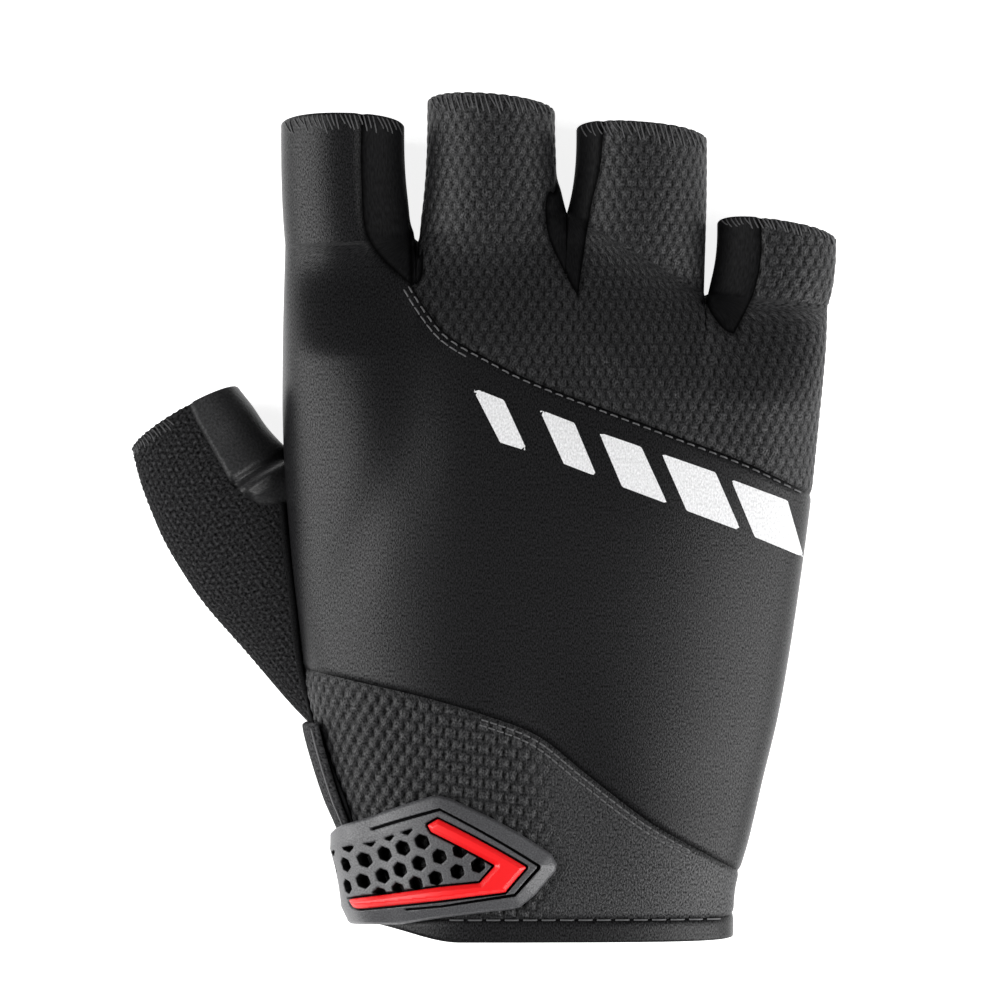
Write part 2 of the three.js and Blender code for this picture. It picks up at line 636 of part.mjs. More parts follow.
// Angle round the wrist at a distance over the strap from the middle of the back.
function arcAngle(arc) {
  const step = radians(0.5);
  let angle = radians(90);
  let left = arc;
  while (left > 0) {
    const next = wristPoint(angle + step, strapTip.along, strapThickness);
    left -= wristPoint(angle, strapTip.along, strapThickness).distanceTo(next);
    angle += step;
  }
  return angle;
}

// Centres of the strap's honeycomb holes as angle and along, laid out on its curved surface.
function honeycombCentres() {
  const outline = piercedOutline.map(onStrap);
  const turn = radians(honeycombTurn);
  const centres = [];
  for (let row = -honeycombRows; row <= honeycombRows; row += 1) {
    for (let column = 0; column < honeycombColumns; column += 1) {
      const u = (column + (row % 2 ? 0.5 : 0)) * honeycombPitch;
      const v = row * honeycombRowPitch;
      const angle = arcAngle(u * Math.cos(turn) + v * Math.sin(turn));
      const y = strapTip.along * gloveLength + honeycombShift - u * Math.sin(turn) + v * Math.cos(turn);
      const point = wristPoint(angle, y / gloveLength, strapThickness);
      const flat = new THREE.Vector2(point.x, point.y);
      const isSeen = angle < radians(pierceLimit) && depthInside(outline, flat) > honeycombMargin;
      if (isSeen) centres.push({ angle, along: y / gloveLength });
    }
  }
  return centres;
}

// A six-sided peg through the strap, square to its surface.
function honeycombPeg({ angle, along }) {
  const peg = new THREE.CylinderGeometry(honeycombHole / 2, honeycombHole / 2, pegLength, 6, 1);
  const centre = wristPoint(angle, along, strapThickness / 2);
  const normal = wristPoint(angle, along, strapThickness).sub(centre).normalize();
  const axes = [new THREE.Vector3().crossVectors(normal, new THREE.Vector3(0, 1, 0)).normalize(), normal];
  axes.push(new THREE.Vector3().crossVectors(axes[0], normal));
  peg.applyMatrix4(new THREE.Matrix4().makeBasis(...axes));
  return solidOf(peg.translate(centre.x, centre.y, centre.z));
}

function strapSolid() {
  const plate = strapPlate(strapInner, strapOuter).intersect(prism(strapOutline.map(onStrap)));
  const fieldFloor = (angle) => strapOuter(angle) - fieldRecess;
  const above = strapPlate(fieldFloor, (angle) => strapOuter(angle) + fieldHeadroom);
  const field = above.intersect(prism(fieldOutline.map(onStrap), palmDepth / 2));
  return plate.subtract(field).subtract(joined(honeycombCentres().map(honeycombPeg)));
}

function insertSolid() {
  const floor = (angle) => strapOuter(angle) - fieldRecess + strapGap;
  const face = (angle) => strapOuter(angle) + insertHeight;
  return strapPlate(floor, face).intersect(prism(insertOutline.map(onStrap), palmDepth / 2));
}

function flapSolid() {
  const size = { angles: flapAngles, reach: flapReach, columns: flapSteps, rows: flapSteps };
  return wristPlate({ ...size, inner: () => flapGap, outer: () => flapGap + flapThickness });
}

// Binding along the thumb side: a cord of folded tape in the crease over the thumb, then on the wrist.
function bindingPath() {
  const { from, turn, onWrist, to, angle } = bindingRun;
  const material = new THREE.MeshBasicMaterial({ side: THREE.DoubleSide });
  const thumb = new THREE.Mesh(thumbSkin(0, 0), material);
  const ray = new THREE.Raycaster();
  const crease = sideLine(from, turn).map(({ x, y }) => {
    ray.set(new THREE.Vector3(x, y, through), new THREE.Vector3(0, 0, -1));
    const hit = ray.intersectObject(thumb)[0];
    const waist = profile(handSections, "waist", y / gloveLength) * palmDepth;
    return new THREE.Vector3(x, y, Math.max(hit ? hit.point.z : 0, waist));
  });
  const wrist = Array.from({ length: lineSteps }, (_, i) => {
    const along = lerp(turn, to, (i + 1) / lineSteps);
    const turned = lerp(180, angle, smooth((turn - along) / (turn - onWrist)));
    return wristPoint(radians(turned), along, bindingRise);
  });
  return [...crease, ...wrist];
}

function cordAlong(path, radius) {
  const outline = new THREE.Shape(
    Array.from({ length: cordSides }, (_, i) => {
      const a = (2 * Math.PI * i) / cordSides;
      return new THREE.Vector2(radius * Math.cos(a), radius * Math.sin(a));
    }),
  );
  const extrudePath = new THREE.CatmullRomCurve3(path);
  return solidOf(new THREE.ExtrudeGeometry(outline, { steps: cordSteps, extrudePath, bevelEnabled: false }));
}

// Shell of the whole glove, hollow from the cuff to each opening.
const outside = solidOf(handSkin(0, 0)).add(solidOf(thumbSkin(0, 0)));
const thumbHollow = solidOf(thumbSkin(clothWall, openingReach));
const inside = solidOf(handSkin(clothWall, openingReach)).add(thumbHollow);
const bindingLine = bindingPath();
const binding = cordAlong(bindingLine, bindingRadius);
const shell = outside.subtract(inside).subtract(cordAlong(bindingLine, bindingRadius + seamGap));

// The seams seen from above, and the regions that they part the shell into.
const below = [new THREE.Vector2(far, -far), new THREE.Vector2(-far, -far)];
const gussetSeams = gussets.map(gussetLines);
const gussetRegions = gussetSeams.map(({ seam, middle }) => prism([...seam, ...middle.slice(1)]));
const gussetCuts = joined(gussetSeams.flatMap(({ seam, middle }) => [seamCut(seam), seamCut(middle)]));
const knuckleStart = gussetSeams[0].end;
const knuckleLine = curveThrough([knuckleStart, ...knuckleSeam.map(place)], lineSteps);
const knuckleEnd = knuckleLine[knuckleLine.length - 1].y;
const knuckleRegion = prism([
  ...knuckleLine,
  new THREE.Vector2(far, knuckleEnd),
  new THREE.Vector2(far, far),
  new THREE.Vector2(knuckleStart.x, far),
]);
const wristLine = curveThrough(wristSeam.map(place), lineSteps);
const wristRegion = prism([...wristLine, ...below]);
const thumbLine = curveThrough(thumbSeam.map(place), lineSteps);
const leatherRegion = prism([...thumbLine, new THREE.Vector2(0, far)]);
const handSide = sideLine(-0.1, 1.1);
const beyondThumb = [new THREE.Vector2(-far, far), new THREE.Vector2(-far, -far)];
const thumbRegion = prism([...handSide, ...beyondThumb]);

// The seams and regions seen from the side.
const palmRegion = sidePrism([...palmSeamLine(0), ...below]);
const palmCut = sidePrism([...palmSeamLine(seamGap / 2), ...palmSeamLine(-seamGap / 2).reverse()]);
const hemRegion = sidePrism([...hemLine(0), new THREE.Vector2(-far, -far), new THREE.Vector2(-far, far)]);
const hemCut = sidePrism([...hemLine(seamGap / 2), ...hemLine(-seamGap / 2).reverse()]);

// Each panel is taken out of the shell by its region, once its own seams are open.
const hemmed = shell.subtract(hemCut);
const cuffHem = hemmed.intersect(hemRegion);
const main = hemmed.subtract(hemRegion).subtract(seamCut(handSide));
const leatherSeam = palmCut.subtract(leatherRegion).add(seamCut(thumbLine).subtract(palmRegion));
const thumb = main.intersect(thumbRegion).subtract(leatherSeam);
const leather = palmRegion.add(leatherRegion);
const hand = main.subtract(thumbRegion).subtract(palmCut);
const over = hand.subtract(palmRegion);
const gussetStrips = gussetRegions.map((region) => over.subtract(gussetCuts).intersect(region));
const backSeams = joined([seamCut(knuckleLine), seamCut(wristLine)]);
const backs = over.subtract(gussetCuts).subtract(joined(gussetRegions)).subtract(backSeams);
const printFace = solidOf(handSkin(-printGap - printThickness, 0));
const printLayer = printFace.subtract(solidOf(handSkin(-printGap, 0)));

const group = new THREE.Group();

function addPiece(name, solid, { color, roughness }) {
  const material = new THREE.MeshStandardMaterial({ color, roughness, metalness: 0 });
  const mesh = new THREE.Mesh(geometryOf(solid), material);
  mesh.name = name;
  group.add(mesh);
}

const stretchCloth = { color: "#1f1f20", roughness: 0.7 };
const honeycombKnit = { color: "#262627", roughness: 0.85 };
const gussetCloth = { color: "#141415", roughness: 0.8 };
const terryCloth = { color: "#242425", roughness: 0.95 };
const palmLeather = { color: "#1b1b1c", roughness: 0.6 };
const bindingTape = { color: "#101011", roughness: 0.8 };
const strapRubber = { color: "#4a4a4c", roughness: 0.5 };
const redRubber = { color: "#e3262b", roughness: 0.4 };
const reflectivePrint = { color: "#c4c4c4", roughness: 0.45 };

addPiece("back_panel", backs.subtract(knuckleRegion).subtract(wristRegion), stretchCloth);
addPiece("knuckle_panel", backs.intersect(knuckleRegion), honeycombKnit);
addPiece("wrist_panel", backs.intersect(wristRegion), honeycombKnit);
addPiece("palm_panel", hand.intersect(palmRegion), palmLeather);
gussetStrips.forEach((strip, i) => addPiece("finger_gusset_" + (i + 1), strip, gussetCloth));
addPiece("thumb_back", thumb.subtract(leather), terryCloth);
addPiece("thumb_front", thumb.intersect(leather), palmLeather);
addPiece("cuff_hem", cuffHem, stretchCloth);
addPiece("side_binding", binding, bindingTape);
addPiece("cuff_flap", flapSolid(), stretchCloth);
addPiece("strap_tab", strapSolid(), strapRubber);
addPiece("strap_insert", insertSolid(), redRubber);
printBars.forEach((corners, i) => {
  const bar = printLayer.intersect(prism(corners.map(place), palmDepth / 2));
  addPiece("print_bar_" + (i + 1), bar, reflectivePrint);
});

// The origin lies on the floor under the middle of the glove.
const box = new THREE.Box3().setFromObject(group);
group.position.set(-(box.min.x + box.max.x) / 2, -(box.min.y + box.max.y) / 2, -box.min.z);

export default group;
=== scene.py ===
import math

import bpy
import numpy as np
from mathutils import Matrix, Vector
from mathutils.bvhtree import BVHTree


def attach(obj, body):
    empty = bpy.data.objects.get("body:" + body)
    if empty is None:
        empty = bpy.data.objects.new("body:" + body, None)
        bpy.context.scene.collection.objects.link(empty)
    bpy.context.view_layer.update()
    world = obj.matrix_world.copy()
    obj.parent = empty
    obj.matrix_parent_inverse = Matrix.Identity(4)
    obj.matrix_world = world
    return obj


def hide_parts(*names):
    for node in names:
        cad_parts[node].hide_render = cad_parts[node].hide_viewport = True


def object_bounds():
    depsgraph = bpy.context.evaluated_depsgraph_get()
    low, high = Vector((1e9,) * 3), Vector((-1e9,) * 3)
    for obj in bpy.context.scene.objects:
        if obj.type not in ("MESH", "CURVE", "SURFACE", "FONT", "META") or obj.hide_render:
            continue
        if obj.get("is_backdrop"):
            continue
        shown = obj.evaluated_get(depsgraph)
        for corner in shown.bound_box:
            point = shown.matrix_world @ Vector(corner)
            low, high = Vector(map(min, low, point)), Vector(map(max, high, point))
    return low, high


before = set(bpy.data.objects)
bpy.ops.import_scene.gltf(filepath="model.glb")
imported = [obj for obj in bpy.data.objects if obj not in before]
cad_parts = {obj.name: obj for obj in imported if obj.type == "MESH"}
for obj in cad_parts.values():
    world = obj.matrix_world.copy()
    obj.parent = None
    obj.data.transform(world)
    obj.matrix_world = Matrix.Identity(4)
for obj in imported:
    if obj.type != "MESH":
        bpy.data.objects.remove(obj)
cad_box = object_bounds()

# Back of the hand and of the index finger: one piece of charcoal stretch cloth with fine ribs, cut
# to shape and sewn to its neighbours with the edges turned in, so that each seam lies in a hollow.
# The glove keeps the form that a hand gives it. Sizes are millimetres: x = 0 is the hand's middle
# line, y = 0 the cuff and z = 0 the floor, and SHIFT moves the glove to the row frame.
MM = 0.001
SHIFT = np.array([11.8322, -76.1036, 0.0])
LENGTH = 152.0
WIDTH = 95.5
DEPTH = 35.0
WALL = 1.2
RIM_STEPS = 5
RIM_BULGE = 0.3
EASE_ROWS = 5
EASE_PASSES = 14
# Sections of the hand from the cuff up: sides as shares of WIDTH, heights as shares of DEPTH, and
# "square", the power that makes a section squarer.
HAND = {
    "along": [0, 0.057, 0.116, 0.187, 0.259, 0.33, 0.425, 0.52, 0.614, 0.709, 0.822],
    "left": [-0.345, -0.355, -0.377, -0.418, -0.45, -0.466, -0.487, -0.498, -0.504, -0.504, -0.5],
    "right": [0.345, 0.349, 0.374, 0.4, 0.428, 0.449, 0.472, 0.492, 0.508, 0.522, 0.526],
    "back": [0.94, 0.96, 0.97, 0.98, 0.99, 0.995, 1.0, 0.985, 0.93, 0.82, 0.64],
    "floor": [0.1, 0.1, 0.09, 0.06, 0.02, 0, 0, 0, 0, 0, 0],
    "waist": [0.5, 0.5, 0.5, 0.48, 0.46, 0.44, 0.43, 0.41, 0.38, 0.34, 0.29],
    "seam": [0.32, 0.32, 0.32, 0.31, 0.29, 0.27, 0.26, 0.25, 0.23, 0.2, 0.17],
    "square": [2.6, 2.6, 2.5, 2.4, 2.4, 2.4, 2.4, 2.5, 2.8, 3.5, 4.5],
}
HAND = {name: np.array(values, float) for name, values in HAND.items()}
BACK_SLOPE = 0.07
PALM_SQUARE = 3.0
PALM_FULLNESS = 1.15
ROOT_X = np.array([-0.5, -0.251, 0.032, 0.294, 0.526])
ROOT_ALONG = np.array([0.822, 0.828, 0.86, 0.763, 0.751])
KNUCKLE_REACH = 0.17
FINGER_DEPTH = 20.5
FINGER_WAIST = 10.0
FINGER_SQUARE = 2.2
RIM_SETBACK = 4.6
# Each finger opening: left, right, along, drop of its right end, depth.
FINGERS = [
    (-0.508, -0.275, 0.977, 0.002, 0.98),
    (-0.232, 0.01, 1.0, 0.012, 1.0),
    (0.05, 0.297, 0.967, 0.012, 0.98),
    (0.316, 0.541, 0.851, 0.02, 0.92),
]
CUFF_SETBACK = 5.0
CUFF_CORNER = 3.0
CUFF_SHARE = 0.16
# Shallow hollows in the back: x, along, width, length, lean, depth.
HOLLOWS = [
    (-0.27, 0.64, 0.07, 0.14, 4, 0.03),
    (0.05, 0.7, 0.07, 0.12, -6, 0.035),
    (0.33, 0.62, 0.07, 0.12, -14, 0.035),
    (0.02, 0.2, 0.2, 0.06, 70, 0.025),
    (-0.38, 0.45, 0.05, 0.09, 20, 0.03),
]


def lerp(a, b, t):
    return a + (b - a) * t


def smooth(t):
    t = np.clip(t, 0, 1)
    return t * t * (3 - 2 * t)


def super_arc(s, power):
    return np.maximum(0, 1 - np.abs(s) ** power) ** (1 / power)


def profile(places, values, at):
    """Smooth curve through a table's values, level beyond its ends."""
    at = np.clip(at, places[0], places[-1])
    last = len(places) - 1
    i = np.minimum(np.searchsorted(places[1:], at), last - 1)
    before, after = np.maximum(i - 1, 0), np.minimum(i + 2, last)
    span = places[i + 1] - places[i]
    start = (values[i + 1] - values[before]) / (places[i + 1] - places[before]) * span
    end = (values[after] - values[i]) / (places[after] - places[i]) * span
    u = (at - places[i]) / span
    u2, u3 = u * u, u * u * u
    ends = (2 * u3 - 3 * u2 + 1) * values[i] + (3 * u2 - 2 * u3) * values[i + 1]
    return ends + (u3 - 2 * u2 + u) * start + (u3 - u2) * end


def hand_value(name, along):
    return profile(HAND["along"], HAND[name], along)


def hand_section(along, inset=0.0):
    return {
        "left": hand_value("left", along) * WIDTH + inset,
        "right": hand_value("right", along) * WIDTH - inset,
        "back": hand_value("back", along) * DEPTH - inset,
        "floor": np.maximum(hand_value("floor", along), 0) * DEPTH + inset,
        "waist": hand_value("waist", along) * DEPTH,
        "square": hand_value("square", along),
    }


def hollow_depth(x, y):
    total = np.zeros_like(x)
    for hx, along, width, length, lean, depth in HOLLOWS:
        turn = math.radians(lean)
        dx, dy = x - hx * WIDTH, y - along * LENGTH
        across = (dx * math.cos(turn) - dy * math.sin(turn)) / (width * WIDTH)
        lengthwise = (dx * math.sin(turn) + dy * math.cos(turn)) / (length * LENGTH)
        total += depth * DEPTH * np.exp(-(across**2) - lengthwise**2)
    return total


def cuff_shift(z, along, across):
    fade = 1 - np.clip(along / CUFF_SHARE, 0, 1)
    drop = CUFF_SETBACK * ((HAND["back"][0] * DEPTH - z) / DEPTH) ** 2
    return (drop + CUFF_CORNER * smooth((-across - 0.5) / 0.5)) * fade


def root_along(index, inset):
    outer = index in (0, 4)
    return ROOT_ALONG[index] - (0 if outer else inset / LENGTH)


def band_edge(index, t, inset):
    end = root_along(index, inset)
    along = end * t
    section, root = hand_section(along, inset), hand_section(end, inset)
    even = index / 4
    share = even * np.ones_like(t)
    if index not in (0, 4):
        root_share = (ROOT_X[index] * WIDTH - root["left"]) / (root["right"] - root["left"])
        share = lerp(even, root_share, t)
    return lerp(section["left"], section["right"], share), along


def hand_point(index, s, t, is_back, inset=0.0):
    x0, along0 = band_edge(index, t, inset)
    x1, along1 = band_edge(index + 1, t, inset)
    x = lerp(x0, x1, (1 + s) / 2)
    along = lerp(along0, along1, (1 + s) / 2)
    section = hand_section(along, inset)
    across = 2 * (x - section["left"]) / (section["right"] - section["left"]) - 1
    parting = np.clip((t - 1 + KNUCKLE_REACH) / KNUCKLE_REACH, 0, 1)
    outer = (s < 0) if index == 0 else (s > 0) if index == 3 else np.zeros_like(s, bool)
    saddle = np.where(outer, 0, s * s)
    share = lerp(1 - smooth(parting), np.sqrt(1 - parting**2), saddle)
    waist = section["waist"]
    if is_back:
        whole = (section["back"] * (1 - BACK_SLOPE * across) - waist)
        whole = whole * super_arc(across, section["square"])
        lobe = (FINGERS[index][4] * FINGER_DEPTH - inset - waist) * super_arc(s, FINGER_SQUARE)
        z = waist + whole * share + lobe * (1 - share)
        z = z - hollow_depth(x, along * LENGTH) * super_arc(across, 2) * share
    else:
        depth = (waist - section["floor"]) * PALM_FULLNESS
        arc = super_arc(across, PALM_SQUARE) * share + super_arc(s, PALM_SQUARE) * (1 - share)
        z = np.maximum(waist - depth * arc, section["floor"])
    return np.stack([x, along * LENGTH + cuff_shift(z, along, across), z], -1)


def finger_point(index, s, t, is_back, inset=0.0):
    left, right, along, drop, depth = FINGERS[index]
    flare = 1 - (1 - t) ** 3
    wall = inset * (1 - (1 - t) ** 8)
    u = (1 + s) / 2
    x0 = lerp(ROOT_X[index], left, flare) * WIDTH + wall
    x1 = lerp(ROOT_X[index + 1], right, flare) * WIDTH - wall
    root = lerp(root_along(index, inset), root_along(index + 1, inset), u)
    place = lerp(root, along - drop * (u - 0.5), t)
    waist = lerp(hand_value("waist", root) * DEPTH, FINGER_WAIST, smooth(t))
    top = depth * FINGER_DEPTH
    if is_back:
        z = waist + (top - inset - waist) * super_arc(s, FINGER_SQUARE)
    else:
        room = waist - inset
        z = waist - np.minimum(room * PALM_FULLNESS * super_arc(s, PALM_SQUARE), room)
    setback = RIM_SETBACK * (1 - z / top)
    return np.stack([lerp(x0, x1, u), place * LENGTH - setback * t**3, z], -1)


def grid_triangles(index):
    """Triangles over a 2D array of point numbers."""
    a, b = index[:-1, :-1].ravel(), index[:-1, 1:].ravel()
    c, d = index[1:, 1:].ravel(), index[1:, :-1].ravel()
    return np.concatenate([np.stack([a, b, c], -1), np.stack([a, c, d], -1)])


def weld(mesh, places=4):
    """Joins points that lie at one place."""
    _, first, same = np.unique(
        np.round(mesh["co"], places), axis=0, return_index=True, return_inverse=True
    )
    made = {name: values[first] for name, values in mesh.items() if name != "tri"}
    tri = same.ravel()[mesh["tri"]]
    keep = (tri[:, 0] != tri[:, 1]) & (tri[:, 1] != tri[:, 2]) & (tri[:, 2] != tri[:, 0])
    made["tri"] = tri[keep]
    return made


def joined(meshes):
    """Several meshes as one."""
    count = 0
    tris = []
    for mesh in meshes:
        tris.append(mesh["tri"] + count)
        count += len(mesh["co"])
    names = [name for name in meshes[0] if name != "tri"]
    made = {name: np.concatenate([mesh[name] for mesh in meshes]) for name in names}
    made["tri"] = np.concatenate(tris)
    return made


def normals(mesh):
    co, tri = mesh["co"], mesh["tri"]
    faces = np.cross(co[tri[:, 1]] - co[tri[:, 0]], co[tri[:, 2]] - co[tri[:, 0]])
    total = np.zeros_like(co)
    for corner in range(3):
        np.add.at(total, tri[:, corner], faces)
    return total / np.maximum(np.linalg.norm(total, axis=1), 1e-9)[:, None]


def compact(mesh):
    """Leaves out the points that no triangle uses."""
    used, tri = np.unique(mesh["tri"], return_inverse=True)
    made = {name: values[used] for name, values in mesh.items() if name != "tri"}
    made["tri"] = tri.reshape(-1, 3)
    return made


def split(mesh, field):
    """Cuts a mesh along field = 0. Returns the part where it is positive and the other part."""
    field = np.where(np.abs(field) < 1e-7, 1e-7, field)
    tri = mesh["tri"]
    above = field[tri] > 0
    count = above.sum(1)
    mixed = (count == 1) | (count == 2)
    lone_is_above = count[mixed] == 1
    lone = np.argmax(above[mixed] == lone_is_above[:, None], axis=1)
    rows = np.arange(len(lone))
    corners = tri[mixed]
    a, b, c = (corners[rows, (lone + k) % 3] for k in range(3))
    edges = np.sort(np.concatenate([np.stack([a, b], -1), np.stack([a, c], -1)]), axis=1)
    unique, which = np.unique(edges, axis=0, return_inverse=True)
    which = which.ravel() + len(field)
    p, q = unique[:, 0], unique[:, 1]
    share = field[p] / (field[p] - field[q])
    made = {}
    for name, values in mesh.items():
        if name != "tri":
            weight = share.reshape((-1,) + (1,) * (values.ndim - 1))
            made[name] = np.concatenate([values, values[p] * (1 - weight) + values[q] * weight])
    ab, ac = which[: len(a)], which[len(a) :]
    lone_side = np.stack([a, ab, ac], -1)
    other_side = np.concatenate([np.stack([ab, b, c], -1), np.stack([ab, c, ac], -1)])
    twice = np.concatenate([lone_is_above, lone_is_above])
    high = [tri[count == 3], lone_side[lone_is_above], other_side[~twice]]
    low = [tri[count == 0], lone_side[~lone_is_above], other_side[twice]]
    return (
        compact({**made, "tri": np.concatenate(high)}),
        compact({**made, "tri": np.concatenate(low)}),
    )


def kept(mesh, *fields):
    """The part of a mesh where every field is positive. A field is a function of the mesh."""
    for field in fields:
        mesh = split(mesh, field(mesh))[0]
    return mesh


def arcs(co):
    """Length along each row of a grid of points, from its first point."""
    steps = np.linalg.norm(np.diff(co, axis=1), axis=2)
    return np.concatenate([np.zeros((len(co), 1)), np.cumsum(steps, 1)], 1)


def finger_shares(columns, hand_ts, index):
    """Places across a finger's band, even on the hand and rounder towards the finger."""
    c = np.linspace(0, 1, columns + 1)
    even, rounded = 2 * c - 1, -np.cos(np.pi * c)
    outer = (c < 0.5) if index == 0 else (c > 0.5) if index == 3 else np.zeros_like(c, bool)
    near = smooth((hand_ts - 0.45) / 0.5)[:, None]
    return np.where(outer, rounded, lerp(even, rounded, near)), rounded


def rim(outer, inner, out):
    """Rows that round the cloth's edge from its outer ring to its inner ring."""
    turn = np.linspace(0, np.pi, RIM_STEPS + 1)[1:, None, None]
    middle, half = (outer + inner) / 2, (outer - inner) / 2
    thickness = np.linalg.norm(half, axis=-1)[:, None]
    bulge = RIM_BULGE * thickness
    return middle + half * np.cos(turn) + np.array(out, float) * bulge * np.sin(turn)


def eased(co, junction, across):
    """Rounds off the bend where a finger's rows meet the hand's, leaving its side edges in place."""
    rows = np.arange(len(co))[:, None]
    weight = np.exp(-(((rows - junction) / EASE_ROWS) ** 2)) * (1 - np.abs(across) ** 6)
    for _ in range(EASE_PASSES):
        middle = (co[:-2] + co[2:]) / 2
        co[1:-1, :, 2] = lerp(co[1:-1, :, 2], middle[..., 2], 0.5 * weight[1:-1])
    return co


def hand_grids(columns, hand_ts, finger_ts, is_back, inset):
    """One grid of points for each finger, from the hand's first row to the finger's opening. The
    outer face, which has no inset, is rounded over the cloth's edge at the cuff and the openings."""
    grids = []
    for index in range(4):
        s, rounded = finger_shares(columns, hand_ts, index)
        t = np.repeat(hand_ts[:, None], columns + 1, 1)
        co = hand_point(index, s, t, is_back, inset)
        if hand_ts[0] == 0 and not inset:
            inner = hand_point(index, s[0], t[0], is_back, WALL)
            co = np.concatenate([rim(co[0], inner, (0, -1, 0))[::-1], co])
        if len(finger_ts):
            s, t = np.meshgrid(rounded, finger_ts)
            finger = finger_point(index, s, t, is_back, inset)
            co = eased(np.concatenate([co, finger]), len(co), rounded)
            if not inset:
                inner = finger_point(index, s[-1], t[-1], is_back, WALL)
                co = np.concatenate([co, rim(finger[-1], inner, (0, 1, 0))])
        grids.append(co)
    return grids


def hand_skin(columns, hand_ts, finger_ts, inset=0.0):
    """Hand and fingers as one surface. u runs over the back from the middle line, down each side."""
    rows, half = len(hand_ts) + (RIM_STEPS if hand_ts[0] == 0 and not inset else 0), columns // 2
    backs = hand_grids(columns, hand_ts, finger_ts, True, inset)
    unders = hand_grids(columns, hand_ts, finger_ts, False, inset)
    whole = np.concatenate([co[:rows] for co in backs], 1)
    arc = arcs(whole)
    centre = np.array([np.interp(0, line, run) for line, run in zip(whole[..., 0], arc)])
    whole_u = np.split(arc - centre[:, None], 4, axis=1)
    parts = []
    for index, (back_co, under_co) in enumerate(zip(backs, unders)):
        arc = arcs(back_co)
        u = arc - arc[:, half : half + 1] + whole_u[index][-1, half]
        u[:rows] = whole_u[index]
        arc = arcs(under_co)
        left = u[:, :1] - arc
        right = u[:, -1:] + arc[:, -1:] - arc
        under_u = np.where(np.arange(columns + 1) <= half, left, right)
        if index in (0, 3):
            under_u = left if index == 0 else right
        for co, u_of, flip in ((back_co, u, False), (under_co, under_u, True)):
            tri = grid_triangles(np.arange(u_of.size).reshape(u_of.shape))
            parts.append(
                {
                    "co": co.reshape(-1, 3),
                    "uv": np.stack([u_of, co[..., 1]], -1).reshape(-1, 2),
                    "tri": tri[:, ::-1] if flip else tri,
                }
            )
    return weld(joined(parts))


def curve(points, steps=12):
    """Smooth line through points."""
    points = np.array(points, float)
    made = []
    last = len(points) - 1
    for i in range(last):
        p0, p1 = points[max(i - 1, 0)], points[i]
        p2, p3 = points[i + 1], points[min(i + 2, last)]
        for k in range(steps):
            u = k / steps
            v0, v1 = (p2 - p0) / 2, (p3 - p1) / 2
            a = 2 * p1 - 2 * p2 + v0 + v1
            b = -3 * p1 + 3 * p2 - 2 * v0 - v1
            made.append(a * u**3 + b * u**2 + v0 * u + p1)
    made.append(points[-1])
    return np.array(made)


def line_distance(line, points):
    """Signed distance of points from a line that runs on at both ends, positive on its left."""
    best = np.full(len(points), np.inf)
    sign = np.ones(len(points))
    for i in range(len(line) - 1):
        a, b = line[i], line[i + 1]
        run = b - a
        along = (points - a) @ run / (run @ run)
        low = -np.inf if i == 0 else 0
        high = np.inf if i == len(line) - 2 else 1
        offset = points - a - np.clip(along, low, high)[:, None] * run
        distance = np.linalg.norm(offset, axis=1)
        side = np.sign(run[0] * (points[:, 1] - a[1]) - run[1] * (points[:, 0] - a[0]))
        closer = distance < best - 1e-9
        best = np.where(closer, distance, best)
        sign = np.where(closer, side, sign)
    return best * sign


def inside_distance(outline, points):
    """Distance of points inside a closed outline, negative outside it."""
    best = np.full(len(points), np.inf)
    inside = np.zeros(len(points), bool)
    for i in range(len(outline)):
        a, b = outline[i], outline[(i + 1) % len(outline)]
        run = b - a
        along = np.clip((points - a) @ run / max(run @ run, 1e-12), 0, 1)
        best = np.minimum(best, np.linalg.norm(points - a - along[:, None] * run, axis=1))
        if a[1] != b[1]:
            crosses = (a[1] > points[:, 1]) != (b[1] > points[:, 1])
            at = a[0] + (points[:, 1] - a[1]) / (b[1] - a[1]) * run[0]
            inside ^= crosses & (points[:, 0] < at)
    return np.where(inside, best, -best)


def place(points):
    """Shares of the width and of the length as millimetres."""
    return np.array(points, float) * [WIDTH, LENGTH]


# Each gusset: the parting below it, the finger its seam runs on, the seam's place across that finger
# at tip and root, and from the parting, in millimetres, its point and its other side.
GUSSETS = [
    (1, 0, 0.66, 0.64, (-0.9, -8.3), [(0.9, -6.8), (0.9, -1.5), (0, 0)]),
    (2, 2, 0.2, 0.16, (2, -15.1), [(-1.4, -8.8), (-3.4, -3.6), (-3.7, 1.4), (-2.9, 3.8), (-1.6, 5.6)]),
    (3, 3, 0.36, 0.38, (5, -7), [(2.8, -5.8), (-0.5, -0.9), (0, 0)]),
]


def gusset_outline(root, host, tip_share, root_share, point, side):
    parting = np.array([ROOT_X[root] * WIDTH, ROOT_ALONG[root] * LENGTH])
    left, right, along = FINGERS[host][:3]

    def seam_at(t):
        flare = 1 - max(0, 1 - t) ** 3
        x0 = lerp(ROOT_X[host], left, flare)
        x1 = lerp(ROOT_X[host + 1], right, flare)
        share = lerp(root_share, tip_share, min(t, 1))
        return [lerp(x0, x1, share) * WIDTH, lerp(ROOT_ALONG[root], along, t) * LENGTH]

    end = parting + point
    seam = curve([*(seam_at(t) for t in (1.6, 1, 0.5, 0)), end])
    between = (FINGERS[root - 1][1] + FINGERS[root][0]) / 2 * WIDTH
    back = [end, *(parting + p for p in side), [between, seam[0][1]]]
    return seam, curve(back, 6)


